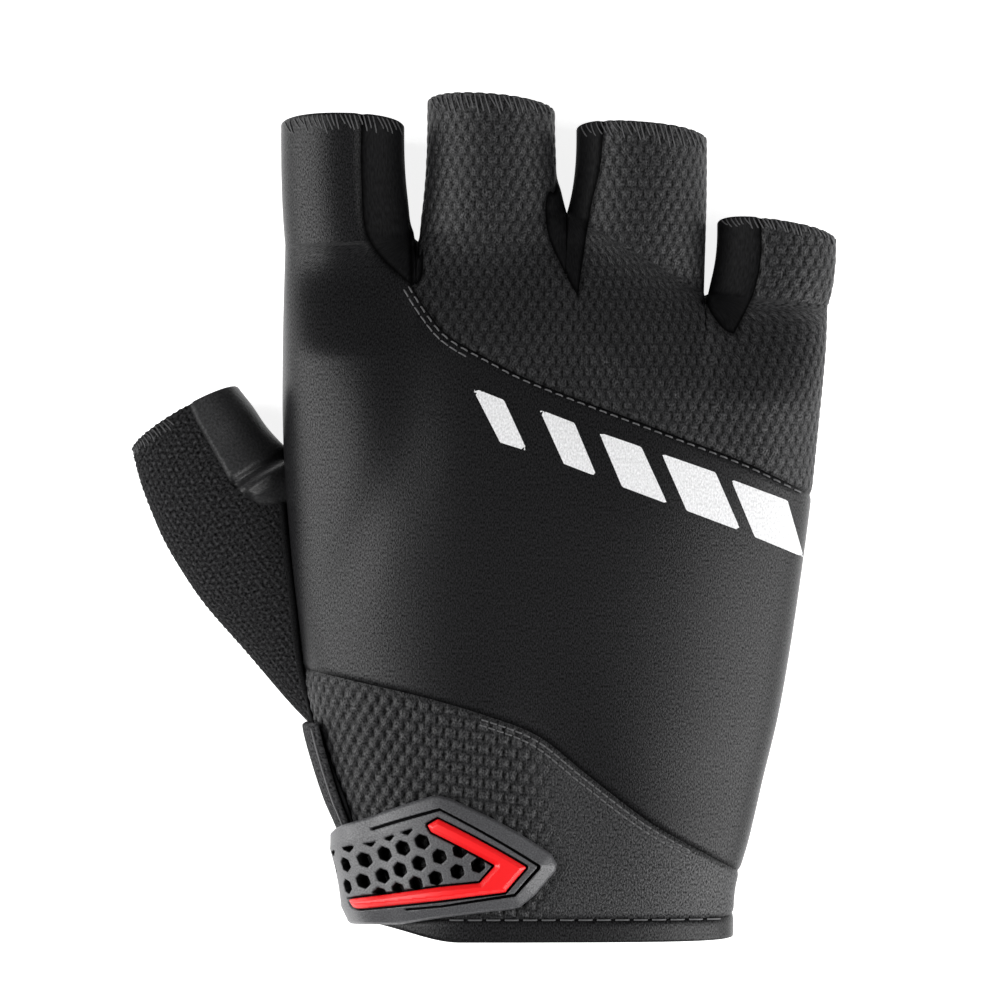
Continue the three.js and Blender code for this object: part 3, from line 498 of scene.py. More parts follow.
gusset_lines = [gusset_outline(*row) for row in GUSSETS]
gusset_shapes = [np.concatenate([seam, back[1:]]) for seam, back in gusset_lines]
knuckle_line = curve(
    [
        gusset_lines[0][0][-1],
        *place(
            [
                [-0.228, 0.741], [-0.189, 0.713], [-0.115, 0.686], [-0.025, 0.658], [0.187, 0.607],
                [0.351, 0.568], [0.438, 0.543], [0.6, 0.492],
            ]
        ),
    ]
)
# Above its start the knuckle seam's line runs on up between the fingers, outside the cloth.
knuckle_border = np.concatenate([[knuckle_line[0] + [0.3, 60], knuckle_line[0]], knuckle_line[1:]])
wrist_line = curve(
    place(
        [
            [-0.56, 0.333], [-0.366, 0.306], [-0.24, 0.288], [-0.125, 0.267], [-0.023, 0.242],
            [0.068, 0.197], [0.183, 0.142], [0.3, 0.1], [0.45, 0.05],
        ]
    )
)
HEM_DEPTH = 4.0


def above_knuckle_seam(mesh):
    return line_distance(knuckle_border, mesh["co"][:, :2])


def below_wrist_seam(mesh):
    return -line_distance(wrist_line, mesh["co"][:, :2])


def above_palm_seam(mesh):
    co = mesh["co"]
    return co[:, 2] - hand_value("seam", co[:, 1] / LENGTH) * DEPTH


def beyond_hem(mesh):
    co = mesh["co"]
    drop = CUFF_SETBACK * ((HAND["back"][0] * DEPTH - co[:, 2]) / DEPTH) ** 2
    return co[:, 1] - HEM_DEPTH - drop * (1 - HEM_DEPTH / (CUFF_SHARE * LENGTH))


def within(outline):
    """A field that is the distance inside an outline seen from above."""
    return lambda mesh: inside_distance(outline, mesh["co"][:, :2])


def less(field):
    return lambda mesh: -field(mesh)


def outside_gussets(mesh):
    return -np.max([within(shape)(mesh) for shape in gusset_shapes], axis=0)


SEAMS = [above_knuckle_seam, below_wrist_seam, above_palm_seam, beyond_hem, outside_gussets]
SEAM_DEPTH = 0.32
SEAM_WIDTH = 0.55
# Painted shade in a seam's hollow: the share of colour and gloss it takes away there.
SEAM_PAINTED_SHADE = 0.8
# Painted shade on the inside of the glove: the share of colour and gloss that it keeps.
INSIDE_SHADE = 0.5
LOOP_HEIGHT = 0.2


def seam_hollow(mesh, fields):
    """1 on the nearest seam, falling to 0 away from it."""
    distance = np.min([np.abs(field(mesh)) for field in fields], axis=0)
    return np.exp(-((distance / SEAM_WIDTH) ** 2))


def panel(skin, lining, relief, *fields):
    """A cloth panel: its outer face with a relief along its normals and that relief's painted shade,
    and its inner face with an even painted shade.
    """
    outer = kept(skin, *fields)
    rise, shade = relief(outer)
    outer["co"] = outer["co"] + outer["normal"] * rise[:, None]
    outer["shade"] = shade
    inner = kept(lining, *fields)
    inner["tri"] = inner["tri"][:, ::-1]
    # Painted shade: the inner face is darkened evenly, as the inside lies in shadow.
    inner["shade"] = np.full(len(inner["co"]), INSIDE_SHADE)
    return joined([{k: m[k] for k in ("co", "uv", "shade", "tri")} for m in (outer, inner)])


def with_normals(mesh):
    mesh["normal"] = normals(mesh)
    return mesh


def smooth_relief(mesh):
    hollow = seam_hollow(mesh, SEAMS)
    # The seam is a real dent; its darkening is painted shade.
    return -SEAM_DEPTH * hollow, 1 - SEAM_PAINTED_SHADE * hollow


def linear(colour):
    """An sRGB hex colour as linear RGBA."""
    parts = [int(colour[i : i + 2], 16) / 255 for i in (1, 3, 5)]
    return [c / 12.92 if c <= 0.04045 else ((c + 0.055) / 1.055) ** 2.4 for c in parts] + [1.0]


def add(tree, kind, inputs=(), links=(), **settings):
    """Adds a shader node with its settings, constant inputs and links from other nodes' sockets."""
    node = tree.nodes.new(kind)
    for name, value in settings.items():
        setattr(node, name, value)
    for name, value in dict(inputs).items():
        node.inputs[name].default_value = value
    for name, socket in dict(links).items():
        tree.links.new(socket, node.inputs[name])
    return node


def new_material(name, **shader_inputs):
    material = bpy.data.materials.new(name)
    material.use_nodes = True
    shader = material.node_tree.nodes["Principled BSDF"]
    for label, value in shader_inputs.items():
        shader.inputs[label.replace("_", " ")].default_value = value
    return material, material.node_tree, shader


def knitted(name, colour, yarn, bump, contrast, **shader_inputs):
    """Cloth, or leather, rubber or print with such a grain. yarn is the size of its loops across and
    along, in millimetres: each is a small bump, lighter and glossier or darker and duller than the
    next. The shade attribute of a mesh is painted shade: it darkens the colour and the gloss where
    hollows, seams, slits and holes would lie in shadow."""
    material, tree, shader = new_material(name, **shader_inputs)
    uv = add(tree, "ShaderNodeUVMap", uv_map="cloth")
    loops = add(
        tree, "ShaderNodeMapping",
        {"Scale": (1 / yarn[0], 1 / yarn[1], 1)}, {"Vector": uv.outputs["UV"]},
    )
    noise = add(
        tree, "ShaderNodeTexNoise", {"Scale": 1.0, "Detail": 1.5, "Roughness": 0.6},
        {"Vector": loops.outputs["Vector"]},
    )
    shade = add(tree, "ShaderNodeAttribute", attribute_name="shade")
    light = add(
        tree, "ShaderNodeMapRange",
        {"From Min": 0.3, "From Max": 0.7, "To Min": 1 - contrast, "To Max": 1 + contrast},
        {"Value": noise.outputs["Fac"]},
    )
    both = add(
        tree, "ShaderNodeMath", links={0: light.outputs["Result"], 1: shade.outputs["Fac"]},
        operation="MULTIPLY",
    )
    base = add(
        tree, "ShaderNodeVectorMath", {0: linear(colour)[:3]}, operation="SCALE",
        links={"Scale": both.outputs["Value"]},
    )
    tree.links.new(base.outputs["Vector"], shader.inputs["Base Color"])
    gloss = add(
        tree, "ShaderNodeMath", {1: shader.inputs["Specular IOR Level"].default_value},
        {0: both.outputs["Value"]}, operation="MULTIPLY",
    )
    tree.links.new(gloss.outputs["Value"], shader.inputs["Specular IOR Level"])
    relief = add(
        tree, "ShaderNodeBump", {"Strength": bump, "Distance": LOOP_HEIGHT * MM},
        {"Height": noise.outputs["Fac"]},
    )
    tree.links.new(relief.outputs["Normal"], shader.inputs["Normal"])
    return material


def show(name, mesh, material, *nodes, slot=None):
    """Makes the object, in the row frame and in metres, attaches it to the root body and hides the CAD
    nodes that it stands for.
    """
    data = bpy.data.meshes.new(name)
    co = (mesh["co"] + SHIFT) * MM
    tri = mesh["tri"]
    data.vertices.add(len(co))
    data.vertices.foreach_set("co", co.ravel())
    data.loops.add(tri.size)
    data.loops.foreach_set("vertex_index", tri.ravel().astype(np.int32))
    data.polygons.add(len(tri))
    data.polygons.foreach_set("loop_start", np.arange(0, tri.size, 3, dtype=np.int32))
    data.polygons.foreach_set("loop_total", np.full(len(tri), 3, dtype=np.int32))
    layer = data.uv_layers.new(name="cloth")
    layer.data.foreach_set("uv", mesh["uv"][tri.ravel()].ravel())
    shade = data.attributes.new("shade", "FLOAT", "POINT")
    shade.data.foreach_set("value", mesh["shade"].astype(np.float32))
    data.update()
    data.validate()
    data.shade_smooth()
    data.materials.append(material)
    made = bpy.data.objects.new(name, data)
    bpy.context.collection.objects.link(made)
    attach(made, "root")
    if nodes:
        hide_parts(*nodes)


lining = hand_skin(16, np.linspace(0, 1, 60), np.linspace(0, 1, 12)[1:], WALL)
smooth_skin = with_normals(hand_skin(48, np.linspace(0, 1, 200), np.linspace(0, 1, 40)[1:]))
# Lycra: filament yarn knitted fine, about 0.2 by 0.45 mm a loop, which gives an even dark grain and
# a soft sheen where the cloth turns towards a light.
lycra = knitted(
    "charcoal lycra", "#161617", (0.22, 0.45), 0.3, 0.75,
    Roughness=0.32, Specular_IOR_Level=0.18,
)
back_cloth = panel(
    smooth_skin, lining, smooth_relief,
    beyond_hem, above_palm_seam, outside_gussets, less(above_knuckle_seam), less(below_wrist_seam),
)
show("back_cloth", back_cloth, lycra, "back_panel", slot="stretch_cloth")

# Knuckles and the backs of three fingers: honeycomb knit, one staggered row of soft cells above
# another, parted by short upright slits. It is sewn in where the knuckles bend, because it stretches.
KNUCKLE_CELL = (2.2, 2.0)
KNUCKLE_SLIT = 0.34
KNUCKLE_SLIT_DEPTH = 0.22
KNUCKLE_ROW_DEPTH = 0.08
# Painted shade in the slits and in the grooves between rows.
KNUCKLE_SLIT_PAINTED_SHADE = 0.85
KNUCKLE_ROW_PAINTED_SHADE = 0.4
# Painted shade in the hollow of a seam in knit or terry.
KNIT_SEAM_PAINTED_SHADE = 0.5


def cells(u, v, cell, slit):
    """How far a place lies in the slit between two staggered cells, and how far from a row's edge."""
    row = np.round(v / cell[1])
    across = u / cell[0] + 0.5 * np.mod(row, 2)
    from_middle = np.abs(across - np.round(across))
    upright = np.cos(np.pi * (v / cell[1] - row))
    return np.exp(-(((0.5 - from_middle) * cell[0] / slit) ** 2)) * upright, upright


def knuckle_relief(mesh):
    u, v = mesh["uv"].T
    hollow = seam_hollow(mesh, SEAMS)
    slit, upright = cells(u, v, KNUCKLE_CELL, KNUCKLE_SLIT)
    depth = (KNUCKLE_SLIT_DEPTH * slit + KNUCKLE_ROW_DEPTH * (1 - upright)) * (1 - hollow)
    # Painted shade: darker in the slits and towards each row's edge.
    shade = (1 - KNUCKLE_SLIT_PAINTED_SHADE * slit) * (1 - KNUCKLE_ROW_PAINTED_SHADE * (1 - upright))
    return -depth - SEAM_DEPTH * hollow, shade * (1 - KNIT_SEAM_PAINTED_SHADE * hollow)


# Honeycomb knit: dull spun yarn, whose loops of 0.3 by 0.45 mm show as a fine grain on every cell.
honeycomb_knit = knitted(
    "honeycomb knit", "#262627", (0.3, 0.45), 0.6, 0.8,
    Roughness=0.45, Specular_IOR_Level=0.27,
)
knuckle_skin = with_normals(hand_skin(104, np.linspace(0.5, 1, 220), np.linspace(0, 1, 76)[1:]))
knuckle = panel(
    knuckle_skin, lining, knuckle_relief, above_palm_seam, outside_gussets, above_knuckle_seam
)
show("knuckle_knit", knuckle, honeycomb_knit, "knuckle_panel", slot="honeycomb_knit")

# Wrist: the same knit in larger cells, its rows sloping a little towards the little finger. It turns
# to plain cloth past the middle.
WRIST_CELL = (2.4, 2.05)
WRIST_SLIT = 0.5
WRIST_SLIT_DEPTH = 0.45
WRIST_ROW_DEPTH = 0.18
# Painted shade in the slits and in the grooves between rows.
WRIST_SLIT_PAINTED_SHADE = 0.95
WRIST_ROW_PAINTED_SHADE = 0.5
WRIST_LEAN = 0.14
WRIST_PATTERN_ENDS = (-7, 4)


def wrist_relief(mesh):
    u, v = mesh["uv"].T
    hollow = seam_hollow(mesh, SEAMS)
    start, end = WRIST_PATTERN_ENDS
    patterned = (1 - smooth((u - start) / (end - start))) * (1 - hollow)
    slit, upright = cells(u, v + WRIST_LEAN * u, WRIST_CELL, WRIST_SLIT)
    depth = (WRIST_SLIT_DEPTH * slit + WRIST_ROW_DEPTH * (1 - upright)) * patterned
    # Painted shade: darker in the slits and towards each row's edge, where the pattern shows.
    shade = 1 - WRIST_SLIT_PAINTED_SHADE * slit * patterned
    shade = shade * (1 - WRIST_ROW_PAINTED_SHADE * (1 - upright) * patterned)
    return -depth - SEAM_DEPTH * hollow, shade * (1 - KNIT_SEAM_PAINTED_SHADE * hollow)


wrist_skin = with_normals(hand_skin(72, np.linspace(0, 0.45, 190), np.array([])))
wrist = panel(wrist_skin, lining, wrist_relief, beyond_hem, above_palm_seam, below_wrist_seam)
show("wrist_knit", wrist, honeycomb_knit, "wrist_panel", slot="honeycomb_knit")

# Gussets: narrow strips of thin smooth cloth, sewn in between neighbouring fingers so that they can
# spread.
# Warp knit polyamide: close, even and nearly black, its ribs too fine to catch light.
gusset_cloth = knitted(
    "black warp knit", "#0d0d0e", (0.3, 1.2), 0.3, 0.35, Roughness=0.6, Specular_IOR_Level=0.08
)
for number, shape in enumerate(gusset_shapes):
    strip = panel(knuckle_skin, lining, smooth_relief, above_palm_seam, within(shape))
    show(
        f"finger_strip_{number + 1}", strip, gusset_cloth, f"finger_gusset_{number + 1}",
        slot="gusset_cloth",
    )


# Palm and undersides of the fingers: one piece of thin synthetic leather, sewn to the panels of the
# back by a seam that runs low round the hand. The photo doesn't show it, so it is left plain.
def low_seams(mesh):
    """Relief of the palm and of the hem, which have no other seams than those at their edges."""
    hollow = seam_hollow(mesh, [above_palm_seam, beyond_hem])
    # The seams' hollows are dented and darkened with painted shade.
    return -SEAM_DEPTH * hollow, 1 - SEAM_PAINTED_SHADE * hollow


# Microfibre leather: brushed, with a low satin gloss and a fine pore grain.
palm_leather = knitted(
    "microfibre leather", "#222223", (0.5, 0.5), 0.3, 0.3,
    Roughness=0.45, Specular_IOR_Level=0.5,
)
palm = panel(smooth_skin, lining, low_seams, beyond_hem, less(above_palm_seam))
palm["uv"] = palm["co"][:, :2]
show("palm_leather", palm, palm_leather, "palm_panel", slot="palm_leather")

# Cuff: the lycra's edge at the wrist is turned over into a hem 4 mm deep and stitched down all round.
# The stitches are in the section on stitching.
hem = panel(smooth_skin, lining, low_seams, less(beyond_hem))
show("cuff_band", hem, lycra, "cuff_hem", slot="stretch_cloth")

# Thumb: a tube sewn into the hand's side. Ribbed terry cloth covers its back, to wipe a face with,
# and the palm's leather wraps its inner side and underside.
THUMB = {
    "leftX": [-0.798, -0.785, -0.764, -0.726, -0.66, -0.575, -0.487, -0.385],
    "leftAlong": [0.59, 0.558, 0.52, 0.466, 0.401, 0.339, 0.275, 0.211],
    "rightX": [-0.598, -0.566, -0.532, -0.475, -0.396, -0.311, -0.236, -0.179],
    "rightAlong": [0.663, 0.636, 0.605, 0.567, 0.514, 0.448, 0.371, 0.294],
    "top": [1.0, 1.0, 1.0, 1.02, 1.05, 1.08, 1.08, 1.0],
    "floor": [0, 0, 0, 0, 0.01, 0.03, 0.06, 0.12],
}
THUMB = {name: np.array(values, float) for name, values in THUMB.items()}
THUMB_DEPTH = 18.5
THUMB_SETBACK = 3.5
THUMB_FLATTENING = 1.3


def thumb_point(angle, t, inset=0.0):
    """A point of the thumb tube: t runs from its opening to its root, angle is 90 degrees on top."""
    stations = np.linspace(0, 1, len(THUMB["top"]))
    value = {name: profile(stations, column, t) for name, column in THUMB.items()}
    left = np.stack([value["leftX"] * WIDTH, value["leftAlong"] * LENGTH], -1)
    right = np.stack([value["rightX"] * WIDTH, value["rightAlong"] * LENGTH], -1)
    span = np.linalg.norm(right - left, axis=-1)
    across = (right - left) / span[..., None]
    top = value["top"] * THUMB_DEPTH
    waist = top / 2
    above = top - waist - inset
    below = waist - np.maximum(value["floor"], 0) * THUMB_DEPTH - inset
    rise = np.sin(angle)
    z = waist + np.where(rise > 0, above * rise, np.maximum(below * rise * THUMB_FLATTENING, -below))
    half = (span / 2 - inset) * np.cos(angle)
    out = -THUMB_SETBACK * (1 - z / top) * (1 - t) ** 4
    x = (left[..., 0] + right[..., 0]) / 2 + across[..., 0] * half - across[..., 1] * out
    y = (left[..., 1] + right[..., 1]) / 2 + across[..., 1] * half + across[..., 0] * out
    return np.stack([x, y, z], -1)


def thumb_skin(columns, rows, inset=0.0):
    angle = np.linspace(np.pi * 1.5, -np.pi * 0.5, columns + 1)
    co = thumb_point(*np.meshgrid(angle, np.linspace(0, 1, rows + 1)), inset)
    if not inset:
        inner = thumb_point(angle, np.zeros_like(angle), WALL)
        axis = co[0] - co[2]
        axis[:, 2] = 0
        out = axis.mean(0) / np.linalg.norm(axis.mean(0))
        co = np.concatenate([rim(co[0], inner, out)[::-1], co])
    arc = arcs(co)
    u = arc - arc[:, columns // 2][:, None]
    run = np.linalg.norm(np.diff(co[:, columns // 2], axis=0), axis=1)
    v = np.concatenate([[0], np.cumsum(run)])[:, None] * np.ones_like(u)
    return {
        "co": co.reshape(-1, 3),
        "uv": np.stack([u, v], -1).reshape(-1, 2),
        "tri": grid_triangles(np.arange(u.size).reshape(u.shape))[:, ::-1],
    }


thumb_line = curve(
    place(
        [
            [-0.72, 0.7], [-0.691, 0.662], [-0.675, 0.625], [-0.647, 0.592], [-0.619, 0.561],
            [-0.596, 0.537], [-0.56, 0.52], [-0.536, 0.514], [-0.46, 0.52],
        ]
    )
)
TERRY_RIB = 1.3
TERRY_DEPTH = 0.22
# Painted shade between the terry's ribs and loops.
TERRY_PAINTED_SHADE = 0.6
FOLD_CREASE = (0.9, 0.8)  # depth, width
FOLD_RIDGE = (0.8, 1.1)
FOLD_RIDGE_OFFSET = 2
FOLD_HEIGHTS = (8, 12)  # the fold begins and is whole at these heights
HAND_CLEARANCE = 0.3
THUMB_FOLD = np.array([(-58.4, 80.6), (-56.9, 81.7), (-52.5, 84.6), (-48.5, 86.7), (-46, 87.6)])


def beside_hand(mesh):
    """How far a point lies outside the hand's thumb side, at its own height."""
    x, y, z = mesh["co"].T
    section = hand_section(y / LENGTH)
    middle = (section["left"] + section["right"]) / 2
    half = (section["right"] - section["left"]) / 2
    up = (z - section["waist"]) / (section["back"] * (1 + BACK_SLOPE) - section["waist"])
    down = (section["waist"] - z) / ((section["waist"] - section["floor"]) * PALM_FULLNESS)
    power = np.where(z > section["waist"], section["square"], PALM_SQUARE)
    height = np.clip(np.where(z > section["waist"], up, down), 0, 1)
    return middle - half * (1 - height**power) ** (1 / power) + HAND_CLEARANCE - x


def on_leather(mesh):
    seen = line_distance(thumb_line, mesh["co"][:, :2])
    return np.maximum(seen, -above_palm_seam(mesh))


def thumb_relief(mesh):
    hollow = seam_hollow(mesh, [on_leather])
    fold = line_distance(THUMB_FOLD, mesh["co"][:, :2])
    low, high = FOLD_HEIGHTS
    on_top = smooth((mesh["co"][:, 2] - low) / (high - low)) * (on_leather(mesh) > 0)
    crease = -FOLD_CREASE[0] * np.exp(-((fold / FOLD_CREASE[1]) ** 2))
    ridge = FOLD_RIDGE[0] * np.exp(-(((fold + FOLD_RIDGE_OFFSET) / FOLD_RIDGE[1]) ** 2))
    u, v = mesh["uv"].T
    ribs = 0.5 + 0.5 * np.cos(2 * np.pi * u / TERRY_RIB)
    loops = 0.5 + 0.5 * np.cos(2 * np.pi * (v / TERRY_RIB + np.round(u / TERRY_RIB) / 2))
    pile = (1 - ribs * loops) * (on_leather(mesh) < 0) * (1 - hollow)
    rise = (crease + ridge) * on_top - TERRY_DEPTH * pile - SEAM_DEPTH * hollow
    # Painted shade: darker between the terry's loops and in the seam's hollow.
    return rise, (1 - KNIT_SEAM_PAINTED_SHADE * hollow) * (1 - TERRY_PAINTED_SHADE * pile)


# Terry: looped pile that scatters light evenly. Its loops are about 0.6 mm, too fine to show, so they
# are drawn 1.3 mm apart, and painted shade darkens the hollows between them.
terry = knitted(
    "terry cloth", "#2a2a2b", (0.5, 0.5), 1.0, 0.9, Roughness=0.9, Specular_IOR_Level=0.15
)
thumb_outside = with_normals(thumb_skin(320, 170))
thumb_inside = thumb_skin(32, 40, WALL)
for name, material, slot, node, side in (
    ("thumb_terry", terry, "terry_cloth", "thumb_back", less(on_leather)),
    ("thumb_leather", palm_leather, "palm_leather", "thumb_front", on_leather),
):
    cover = panel(thumb_outside, thumb_inside, thumb_relief, beside_hand, side)
    show(name, cover, material, node, slot=slot)

# Side binding: black tape folded over the seam between the hand and the thumb, running on down the
# wrist under the flap. Its black is partly the tape's own colour and partly painted shadow, in the
# crease at the thumb and in the groove between the flap and the knit.
BINDING = [
    (-48.2, 78.5), (-47.6, 72), (-46.9, 66), (-46.2, 60), (-45.6, 54), (-44.9, 49), (-43.9, 44.5),
    (-42.6, 39.3), (-41.2, 35.5), (-39.7, 32.1), (-38.1, 28.1), (-36.9, 25.2), (-35.5, 21.1),
    (-34.2, 17.5),
]
BINDING_WIDTH = 1.3
BINDING_THICKNESS = 0.7
BINDING_LIFT = 0.1
OVERHEAD = 80


def surface(*meshes):
    """A search tree of meshes, to lay things on them from above."""
    whole = joined([{"co": m["co"], "tri": m["tri"]} for m in meshes])
    return BVHTree.FromPolygons(whole["co"].tolist(), whole["tri"].tolist())


def laid(tree, points, lift=0.0):
    """Points seen from above, laid on a surface and raised along its normals, and the normals."""
    places, ups = [], []
    for x, y in points:
        hit, normal, _, _ = tree.ray_cast(Vector((x, y, OVERHEAD)), Vector((0, 0, -1)))
        up = np.array(normal) * (1 if normal.z > 0 else -1)
        places.append(np.array(hit) + up * lift)
        ups.append(up)
    return np.array(places), np.array(ups)


def tube(path, ups, width, thickness, sides=8):
    """A closed tube of oval section along a path."""
    path, ups = np.asarray(path, float), np.asarray(ups, float)
    run = np.gradient(path, axis=0)
    run /= np.linalg.norm(run, axis=1)[:, None]
    side = np.cross(run, ups)
    side /= np.linalg.norm(side, axis=1)[:, None]
    up = np.cross(side, run)
    a = 2 * np.pi * np.arange(sides) / sides
    ring = (
        path[:, None]
        + side[:, None] * (np.cos(a) * width / 2)[None, :, None]
        + up[:, None] * (np.sin(a) * thickness / 2)[None, :, None]
    )
    count = len(path)
    number = np.arange(count * sides).reshape(count, sides)
    tri = grid_triangles(np.concatenate([number, number[:, :1]], 1))
    ends = [[0, i, i + 1] for i in range(1, sides - 1)]
    last = (count - 1) * sides
    caps = np.array([*ends, *([last, last + i + 1, last + i] for i in range(1, sides - 1))])
    around = np.broadcast_to(np.cos(a) * width / 2, (count, sides))
    along = np.concatenate([[0], np.cumsum(np.linalg.norm(np.diff(path, axis=0), axis=1))])
    uv = np.stack([around, np.broadcast_to(along[:, None], (count, sides))], -1)
    return {
        "co": ring.reshape(-1, 3),
        "uv": uv.reshape(-1, 2),
        "shade": np.ones(count * sides),
        "tri": np.concatenate([tri, caps]),
    }


# Bias tape: tightly woven, black, almost without gloss. Its near-black also stands for painted shadow
# in the crease and the groove.
tape_and_shadow = knitted(
    "black bias tape", "#0b0b0c", (0.3, 0.3), 0.4, 0.6, Roughness=0.8, Specular_IOR_Level=0.08
)
glove_top = surface(smooth_skin, thumb_outside)
binding_path, binding_ups = laid(glove_top, curve(BINDING, 6), BINDING_LIFT)
show(
    "side_tape", tube(binding_path, binding_ups, BINDING_WIDTH, BINDING_THICKNESS, 10), tape_and_shadow,
    "side_binding", slot="binding_tape",
)

# Cuff flap: the loose end of the cuff's cloth at the thumb side. It lies under the strap, which holds
# it down, and its edge is bound with a fine piping.
FLAP_ANGLES = (160, 201)
FLAP_REACH = (0.1, 0.257)
FLAP_GAP = 0.4
FLAP_THICKNESS = 1.5
FLAP_SIZE = (16, 24)
FLAP_RIBS = 14
FLAP_RIB_HEIGHT = 0.06
PIPING_REACH = (0.13, 0.25)
PIPING_INSET = 3.0  # degrees in from the flap's edge
PIPING_POINTS = 30
PIPING_UP = (-0.3, 0, 1.0)
PIPING_SIZE = (0.4, 0.35)


def wrist_point(angle, along, offset):
    """A point round the wrist: 0 degrees is the little finger's side, 90 the back."""
    section = hand_section(along)
    middle = (section["left"] + section["right"]) / 2
    half = (section["right"] - section["left"]) / 2

    def outline(a):
        power = 2 / np.where(np.sin(a) >= 0, section["square"], PALM_SQUARE)
        s = np.sign(np.cos(a)) * np.abs(np.cos(a)) ** power
        up = section["back"] * (1 - BACK_SLOPE * s) - section["waist"]
        down = (section["waist"] - section["floor"]) * PALM_FULLNESS
        z = section["waist"] + np.where(np.sin(a) >= 0, up, -down) * np.abs(np.sin(a)) ** power
        return np.stack([middle + half * s, np.maximum(z, section["floor"])], -1)

    a = np.radians(angle)
    step = 0.02
    run = outline(a + step) - outline(a - step)
    run /= np.linalg.norm(run, axis=-1)[..., None]
    x, z = np.moveaxis(outline(a), -1, 0)
    y = along * LENGTH + cuff_shift(z, along, (x - middle) / half)
    hollow = hollow_depth(x, y) * np.maximum(0, np.sin(a))
    return np.stack([x + run[..., 1] * offset, y, z - run[..., 0] * offset - hollow], -1)


def flap_plate(columns=40, rows=60):
    q, r = np.meshgrid(np.linspace(0, 1, columns + 1), np.linspace(0, 1, rows + 1))
    edge = (1 - np.abs(2 * q - 1) ** 6) ** (1 / 3) * (1 - np.abs(2 * r - 1) ** 16) ** (1 / 3)
    angle = lerp(*FLAP_ANGLES, q)
    along = lerp(*FLAP_REACH, r)
    rib = FLAP_RIB_HEIGHT * np.cos(2 * np.pi * q * FLAP_RIBS)
    outer = wrist_point(angle, along, FLAP_GAP + FLAP_THICKNESS / 2 * (1 + edge) + rib * edge)
    inner = wrist_point(angle, along, FLAP_GAP + FLAP_THICKNESS / 2 * (1 - edge))
    faces = grid_triangles(np.arange(q.size).reshape(q.shape))
    uv = np.stack([q, r], -1).reshape(-1, 2) * FLAP_SIZE
    return weld(
        {
            "co": np.concatenate([outer.reshape(-1, 3), inner.reshape(-1, 3)]),
            "uv": np.concatenate([uv, uv]),
            "shade": np.ones(2 * q.size),
            "tri": np.concatenate([faces[:, ::-1], faces + q.size]),
        }
    )


show("cuff_flap_cloth", flap_plate(), terry, "cuff_flap", slot="stretch_cloth")
piping = wrist_point(
    np.full(PIPING_POINTS, FLAP_ANGLES[0] + PIPING_INSET),
    np.linspace(*PIPING_REACH, PIPING_POINTS), FLAP_GAP + FLAP_THICKNESS,
)
# Polyester thread: smooth, dark grey, with a dull gloss.
thread, _, _ = new_material(
    "grey polyester thread", Base_Color=linear("#4c4c4d"), Roughness=0.5, Specular_IOR_Level=0.4
)
piping_ups = np.tile(PIPING_UP, (PIPING_POINTS, 1))
show("flap_piping", tube(piping, piping_ups, *PIPING_SIZE), thread)

# Strap: moulded rubber that closes the cuff. From its pointed tip on the back of the wrist it runs
# round the thumb's side to the palm. A groove follows its raised rim, and honeycomb holes pierce it.
STRAP_END = 244
STRAP_TIP_ALONG = 0.0925
STRAP_GAP = 0.3
# Angles at which the strap begins to climb the flap, to come down from it and to grow thinner, and
# the angle that each takes.
STRAP_CLIMB = (138, 20)
STRAP_DESCENT = (203, 25)
STRAP_TAPER = (168, 20)
STRAP_TAPER_SHARE = 0.4
STRAP_OUTLINE = [
    (-36.76, 19.3), (-32.54, 21.58), (-29.55, 22.72), (-22.34, 25.24), (-19.64, 26.04),
    (-18.2, 26.14), (-16.58, 25.6), (-9.8, 22.0), (-5.59, 19.47), (-2.4, 17.4), (0.18, 15.76),
    (1.17, 14.06), (1.08, 12.8), (-2.59, 8.35), (-5.23, 6.31), (-6.85, 5.86), (-9.8, 5.59),
    (-20.54, 4.33), (-28.65, 3.07), (-36.04, 2.94),
]
GROOVE = [
    (-30.52, 20.37), (-18.45, 24.03), (-1.72, 13.76), (-1.72, 13.16), (-6.04, 8.16), (-19.82, 6.18),
    (-27.03, 5.51), (-27.03, 6.02), (-19.82, 6.67), (-6.35, 8.73), (-2.31, 13.5), (-18.42, 23.44),
    (-30.52, 19.76),
]
HOLES = [
    (-37.57, 15.87), (-36.4, 16.44), (-34.02, 17.27), (-31.1, 18.36), (-28.0, 19.4), (-24.76, 20.52),
    (-36.74, 12.86), (-34.83, 13.67), (-32.18, 14.6), (-29.08, 15.72), (-25.77, 16.82),
    (-22.29, 17.98), (-35.17, 9.75), (-32.87, 10.76), (-29.97, 11.79), (-26.78, 12.93),
    (-23.28, 14.12), (-19.62, 15.33), (-16.02, 16.41), (-30.79, 8.38), (-27.57, 9.29),
    (-24.16, 10.46), (-20.52, 11.47), (-16.61, 12.66), (-12.92, 13.76),
]
HOLE_BORDER = [(-40, 14.2), (-36.94, 15.51), (-30.63, 17.74), (-18, 22.1)]
HOLE_SIZE = 1.16  # from a hole's centre to its flats
HOLE_TURN = 19  # degrees, the rows rise towards the tip
CHEVRON = [
    (-19.03, 22.0), (-4.36, 13.47), (-4.36, 13.29), (-8.0, 8.96), (-19.82, 7.52), (-34.06, 5.81),
    (-34.78, 6.04), (-35.32, 7.36), (-19.82, 9.86), (-12.61, 10.57), (-9.8, 13.76), (-20.54, 19.73),
    (-20.9, 20.92),
]
STRAP_FACE = 2.0  # height at which lengths round the wrist are measured
strap_angles = np.arange(60, 251, 0.25)
strap_line = wrist_point(strap_angles, np.full(strap_angles.shape, STRAP_TIP_ALONG), STRAP_FACE)
strap_arcs = arcs(strap_line[None])[0]
strap_arcs -= np.interp(90, strap_angles, strap_arcs)
# The part of the line that shows from above, up to the thumb's side.
over_back = strap_line[:, 0] > strap_line[:, 0].min() + 0.1
over_back &= strap_angles < 181


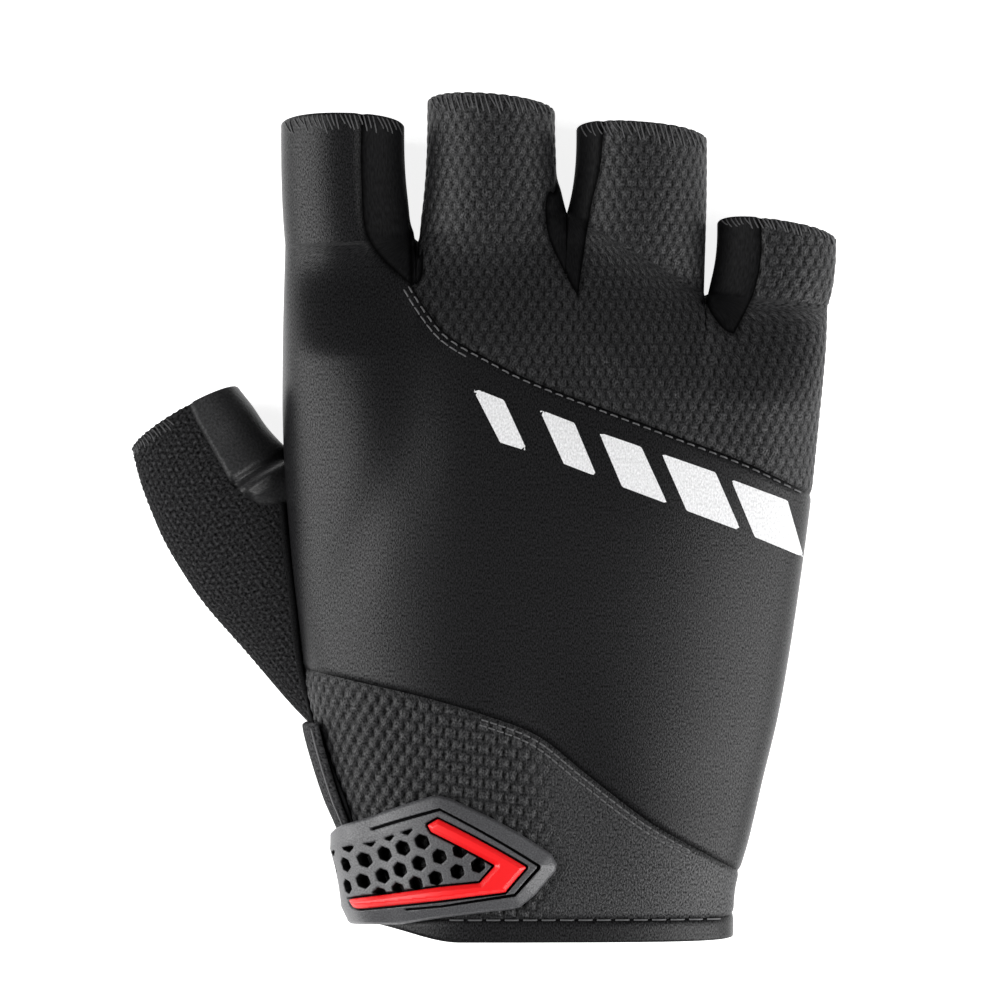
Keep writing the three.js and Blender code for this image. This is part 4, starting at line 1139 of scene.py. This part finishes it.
def on_strap(points):
    """Points seen from above, as length round the wrist from the middle of the back, and y."""
    points = np.array(points, float)
    order = np.argsort(strap_line[over_back, 0])
    arc = np.interp(points[:, 0], strap_line[over_back, 0][order], strap_arcs[over_back][order])
    return np.stack([arc, points[:, 1]], -1)


def passed(angle, start, run):
    return smooth((angle - start) / run)


def strap_lift(angle):
    """Height of the strap's underside over the wrist: it passes over the flap."""
    over_flap = passed(angle, *STRAP_CLIMB) * (1 - passed(angle, *STRAP_DESCENT))
    return STRAP_GAP + (FLAP_GAP + FLAP_THICKNESS) * over_flap


def strap_thinning(angle):
    return 1 - STRAP_TAPER_SHARE * passed(angle, *STRAP_TAPER)


def hole_edge(points):
    """Distance inside the nearest hexagonal hole, negative outside every hole."""
    best = np.full(len(points), -np.inf)
    for centre in on_strap(HOLES):
        offset = points - centre
        turns = [math.radians(HOLE_TURN + 60 * k) for k in range(3)]
        reach = [np.abs(offset[:, 1] * math.cos(a) - offset[:, 0] * math.sin(a)) for a in turns]
        best = np.maximum(best, HOLE_SIZE - np.max(reach, axis=0))
    return np.minimum(best, line_distance(on_strap(HOLE_BORDER), points))


# Past the thumb's side, where the photo doesn't show it, the strap runs on at an even width.
STRAP_SIDES = (2.94, 18.4)
PAST_END = 5
strap_end_arc = np.interp(STRAP_END, strap_angles, strap_arcs)
strap_outline = np.concatenate(
    [on_strap(STRAP_OUTLINE), [(strap_end_arc + PAST_END, y) for y in STRAP_SIDES]]
)


def strap_sheet(step=0.28, coarse_step=1.2, fine_to=176):
    """A flat mesh of the strap, x along its length and y across, and its distances inside the
    outline, groove, chevron and holes."""
    start = on_strap([(2.2, 14)])[0, 0]
    middle = np.interp(fine_to, strap_angles, strap_arcs)
    arc = np.concatenate(
        [np.arange(start, middle, step), np.arange(middle, strap_end_arc, coarse_step), [strap_end_arc]]
    )
    arc, y = np.meshgrid(arc, np.arange(2.4, 27.0, step))
    flat = np.stack([arc, y], -1).reshape(-1, 2)
    return {
        "co": flat,
        "edge": inside_distance(strap_outline, flat),
        "groove": inside_distance(on_strap(GROOVE), flat),
        "chevron": inside_distance(on_strap(CHEVRON), flat),
        "hole": hole_edge(flat),
        "tri": grid_triangles(np.arange(arc.size).reshape(arc.shape)),
    }


def cut_at(mesh, name, *levels):
    """Adds edges where a distance has these values, so that a form can bend there."""
    for level in levels:
        mesh = weld(joined(split(mesh, mesh[name] - level)), 5)
    return mesh


def wrapped(sheet, height):
    """Bends a flat strap mesh round the wrist at heights over its underside."""
    angle = np.interp(sheet["co"][:, 0], strap_arcs, strap_angles)
    offset = strap_lift(angle) + height
    along = sheet["co"][:, 1] / LENGTH
    for _ in range(2):
        along = along + sheet["co"][:, 1] / LENGTH - wrist_point(angle, along, offset)[:, 1] / LENGTH
    co = wrist_point(angle, along, offset)
    return {"co": co, "uv": sheet["co"], "shade": np.ones(len(co)), "tri": sheet["tri"]}


STRAP_SLOPE = ([0, 0.4, 3.0], [0.9, 1.5, 2.5])  # in from the outline, height
GROOVE_FLOOR = 1.2
CHEVRON_BED = 1.1
CHEVRON_GAP = 0.45
HOLE_BEVEL = 0.2
HOLE_DIP = 0.14
HOLE_SHADOW = 0.1  # the shading of a hole begins this far outside it
WALL_WIDTH = 0.05  # run of an upright wall, seen from above
# Painted shade in the groove, round the chevron and in and round the holes.
HOLLOW_PAINTED_SHADE = 0.95

sheet = strap_sheet()
sheet = cut_at(sheet, "edge", *STRAP_SLOPE[0])
sheet = cut_at(sheet, "groove", 0, WALL_WIDTH)
sheet = cut_at(sheet, "chevron", -CHEVRON_GAP, -CHEVRON_GAP + WALL_WIDTH)
sheet = cut_at(sheet, "hole", -HOLE_BEVEL, 0, WALL_WIDTH)
sheet = split(sheet, sheet["edge"] + WALL_WIDTH)[0]
sheet = split(sheet, WALL_WIDTH - sheet["hole"])[0]


def step_up(distance, start):
    """0 before a distance and 1 past it, over the run of a wall."""
    return np.clip((distance - start) / WALL_WIDTH, 0, 1)


def strap_height(sheet):
    edge = sheet["edge"]
    height = np.interp(edge, *STRAP_SLOPE)
    height = lerp(height, np.minimum(height, GROOVE_FLOOR), step_up(sheet["groove"], 0))
    height = lerp(height, np.minimum(height, CHEVRON_BED), step_up(sheet["chevron"], -CHEVRON_GAP))
    height = height - HOLE_DIP * smooth(sheet["hole"] / HOLE_BEVEL + 1)
    height = height * (1 - step_up(sheet["hole"], 0)) * step_up(edge, -WALL_WIDTH)
    return height * strap_thinning(np.interp(sheet["co"][:, 0], strap_arcs, strap_angles))


# Moulded rubber: mid grey, finely textured by the mould, with a satin gloss.
strap_rubber = knitted(
    "grey moulded rubber", "#414143", (0.3, 0.3), 0.3, 0.3, Roughness=0.42,
    Specular_IOR_Level=0.6,
)
strap = wrapped(sheet, strap_height(sheet))
# Painted shade: the groove, the gap round the chevron and the holes, with a narrow rim round each, are
# darkened.
deep = step_up(sheet["groove"], 0) + step_up(sheet["chevron"], -CHEVRON_GAP)
deep += step_up(sheet["hole"], -HOLE_SHADOW)
strap["shade"] = 1 - HOLLOW_PAINTED_SHADE * np.clip(deep, 0, 1)
strap_under = wrapped(sheet, 0)
strap_under["tri"] = strap_under["tri"][:, ::-1]
show("strap", joined([strap, strap_under]), strap_rubber, "strap_tab", slot="strap_rubber")

# Chevron: an inlay of red rubber, moulded by itself and set into a bed in the strap. It stands above
# the strap and its edges are bevelled.
CHEVRON_SHOULDER = 2.3
CHEVRON_TOP = 3.0
CHEVRON_BEVEL = 0.75
inlay = cut_at(strap_sheet(), "chevron", 0, CHEVRON_BEVEL)
inlay = split(inlay, inlay["chevron"] + WALL_WIDTH)[0]
chevron_height = np.interp(
    inlay["chevron"], [-WALL_WIDTH, 0, CHEVRON_BEVEL], [CHEVRON_BED, CHEVRON_SHOULDER, CHEVRON_TOP]
)
# Red rubber: saturated and smooth, so that its bevels catch the lights.
red_rubber, _, _ = new_material(
    "red moulded rubber", Base_Color=linear("#e01519"), Roughness=0.35, Specular_IOR_Level=0.5
)
show("chevron", wrapped(inlay, chevron_height), red_rubber, "strap_insert", slot="red_rubber")

# Bars: five slanted reflective bars, printed on the back's cloth by heat transfer. They are a thin
# silver film that follows the cloth.
BARS = [
    [(-0.147, 0.652), (-0.087, 0.637), (-0.043, 0.577), (-0.094, 0.587)],
    [(-0.021, 0.626), (0.045, 0.61), (0.087, 0.547), (0.025, 0.562)],
    [(0.091, 0.599), (0.17, 0.582), (0.219, 0.515), (0.134, 0.535)],
    [(0.208, 0.574), (0.309, 0.552), (0.357, 0.483), (0.255, 0.507)],
    [(0.338, 0.544), (0.445, 0.519), (0.476, 0.452), (0.383, 0.476)],
]
BAR_LIFT = 0.12
# Reflective print: glass beads in a silver film, pale grey with a fine sparkle.
silver_print = knitted(
    "silver reflective print", "#d2d2d3", (0.3, 0.5), 0.4, 0.2,
    Roughness=0.6, Specular_IOR_Level=0.15,
)
for number, corners in enumerate(BARS):
    bar = kept(smooth_skin, above_palm_seam, within(place(corners)))
    bar["co"] = bar["co"] + bar["normal"] * BAR_LIFT
    bar["shade"] = np.ones(len(bar["co"]))
    show(
        f"silver_bar_{number + 1}", bar, silver_print, f"print_bar_{number + 1}",
        slot="reflective_print",
    )

# Stitching: grey thread shows where the panels are topstitched beside the knuckle and wrist seams and
# round the hem, and as slanted overlock stitches that bind the finger and thumb openings.
STITCH_THREAD = 0.32
OVERLOCK_THREAD = 0.26
STITCH_LIFTS = [-0.12, 0.1, 0.14, 0.1, -0.12]
STITCH_SHARES = [0, 0.15, 0.5, 0.85, 1]
STITCH_UNEVENNESS = 0.35
HEM_STITCH_Y = 3.9
hand_top = surface(smooth_skin)
chance = np.random.default_rng(7)


def stitch(ends, up, thickness):
    """One stitch: a thread that comes out of the cloth, lies on it and goes back in."""
    a, b = np.array(ends)
    path = lerp(a, b, np.array(STITCH_SHARES)[:, None]) + np.array(STITCH_LIFTS)[:, None] * up
    return tube(path, np.tile(up, (len(path), 1)), thickness, thickness, 6)


def beside(line, offset):
    """A line seen from above, moved sideways to its left."""
    run = np.gradient(line, axis=0)
    run /= np.linalg.norm(run, axis=1)[:, None]
    return line + np.stack([-run[:, 1], run[:, 0]], -1) * offset


def topstitch(line, length, gap):
    """A row of stitches along a line seen from above."""
    steps = np.linalg.norm(np.diff(line, axis=0), axis=1)
    along = np.concatenate([[0], np.cumsum(steps)])
    starts = np.arange(0, along[-1] - length, length + gap)
    made = []
    for start in starts:
        at = [start, start + length]
        ends = np.stack([np.interp(at, along, line[:, 0]), np.interp(at, along, line[:, 1])], -1)
        places, ups = laid(hand_top, ends)
        made.append(stitch(places, ups.mean(0), STITCH_THREAD))
    return made


def overlock(point_at, places, slant, edge, inner):
    """Slanted stitches from the edge of an opening to a line a little way down."""
    made = []
    for place_across in places:
        reach, lean = 1 + STITCH_UNEVENNESS * chance.uniform(-1, 1, 2)
        last = edge + (inner - edge) * reach
        ends = np.array([point_at(place_across, edge), point_at(place_across + slant * lean, last)])
        side = point_at(place_across + 0.01, edge) - point_at(place_across - 0.01, edge)
        up = np.cross(side, ends[0] - ends[1])
        up /= np.linalg.norm(up)
        made.append(stitch(ends, up, OVERLOCK_THREAD))
    return made


def between_x(line, left, right):
    return line[(line[:, 0] > left) & (line[:, 0] < right)]


wrist_row = between_x(wrist_line, -12, 27.5)
knuckle_row = between_x(knuckle_line, -25.5, 46)
hem_row = np.array([(x, HEM_STITCH_Y) for x in np.linspace(-18, 33, 90)])
# Rows of topstitching: line, sideways offset, stitch length and gap.
ROWS = [
    (wrist_row, -0.9, 1.1, 0.5),
    (wrist_row, -1.9, 1.1, 0.5),
    (knuckle_row, -0.6, 1.2, 0.9),
    (between_x(knuckle_line, -25.5, -14), -1.6, 1.5, 0.4),
    (hem_row, 0, 2.4, 0.9),
]
seam_stitches = []
for line, offset, length, gap in ROWS:
    seam_stitches += topstitch(beside(line, offset), length, gap)
edge_stitches = []
for index in range(4):
    edge_stitches += overlock(
        lambda s, t, i=index: finger_point(i, np.array(s), np.array(t), True),
        np.arange(-0.93, 0.9, 0.075), slant=0.08, edge=0.99, inner=0.88,
    )
edge_stitches += overlock(
    lambda a, t: thumb_point(np.array(a), np.array(t)),
    np.radians(np.arange(172, 100, -4.5)), slant=-0.06, edge=0.01, inner=0.06,
)
show("seam_stitches", joined(seam_stitches), thread)
# Overlock thread: textured polyamide, nearly as dark as the cloth.
dark_thread, _, _ = new_material(
    "dark overlock thread", Base_Color=linear("#454546"), Roughness=0.6, Specular_IOR_Level=0.3
)
show("overlock_stitches", joined(edge_stitches), dark_thread)

# Studio: a pale lit floor, a large soft light low at each side, and the camera straight above with a
# long lens, so far off that high parts of the glove look no larger than low ones.
CAMERA_PLACE = (2.83, 2.87, 2515)
SOFTBOX_SIZE = (0.5, 0.8)
LIT_PLACE = Vector((0, 0, 0.02))
FLOOR_REACH = 3
FLOOR_DROP = 0.2 * MM  # keeps the floor clear of the palm that lies on it
camera_data = bpy.data.cameras.new("camera")
camera = bpy.data.objects.new("camera", camera_data)
bpy.context.collection.objects.link(camera)
camera_data.lens = 500
camera_data.sensor_width = 36
camera_data.clip_end = 10
camera.location = Vector(CAMERA_PLACE) * MM
bpy.context.scene.camera = camera
bpy.context.scene.view_settings.view_transform = "Standard"


def softbox(name, location, power):
    data = bpy.data.lights.new(name, "AREA")
    data.shape = "RECTANGLE"
    data.size, data.size_y = SOFTBOX_SIZE
    data.energy = power
    light = bpy.data.objects.new(name, data)
    bpy.context.collection.objects.link(light)
    light.location = location
    aim = LIT_PLACE - Vector(location)
    light.rotation_euler = aim.to_track_quat("-Z", "Y").to_euler()


softbox("left softbox", (-0.55, 0.0, 0.32), 7)
softbox("right softbox", (0.54, -0.22, 0.28), 8)
world = bpy.data.worlds.new("studio")
bpy.context.scene.world = world
world.use_nodes = True
world.node_tree.nodes["Background"].inputs["Color"].default_value = (1, 1, 1, 1)
world.node_tree.nodes["Background"].inputs["Strength"].default_value = 0.08

floor_data = bpy.data.meshes.new("floor")
corners = [(x * FLOOR_REACH, y * FLOOR_REACH, 0) for x, y in ((-1, -1), (1, -1), (1, 1), (-1, 1))]
floor_data.from_pydata(corners, [], [(0, 1, 2, 3)])
floor = bpy.data.objects.new("floor", floor_data)
bpy.context.collection.objects.link(floor)
floor.location.z = -FLOOR_DROP
# Opal acrylic: a white sheet lit from below, which leaves only a faint shadow.
acrylic, _, _ = new_material(
    "lit opal acrylic", Base_Color=linear("#e8e8e8"), Roughness=0.8, Specular_IOR_Level=0.1,
    Emission_Color=(1, 1, 1, 1), Emission_Strength=0.85,
)
floor_data.materials.append(acrylic)
floor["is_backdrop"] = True

boxes = {"cad": cad_box, "visual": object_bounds()}
boxes = {name: np.array(box, float).tolist() for name, box in boxes.items()}
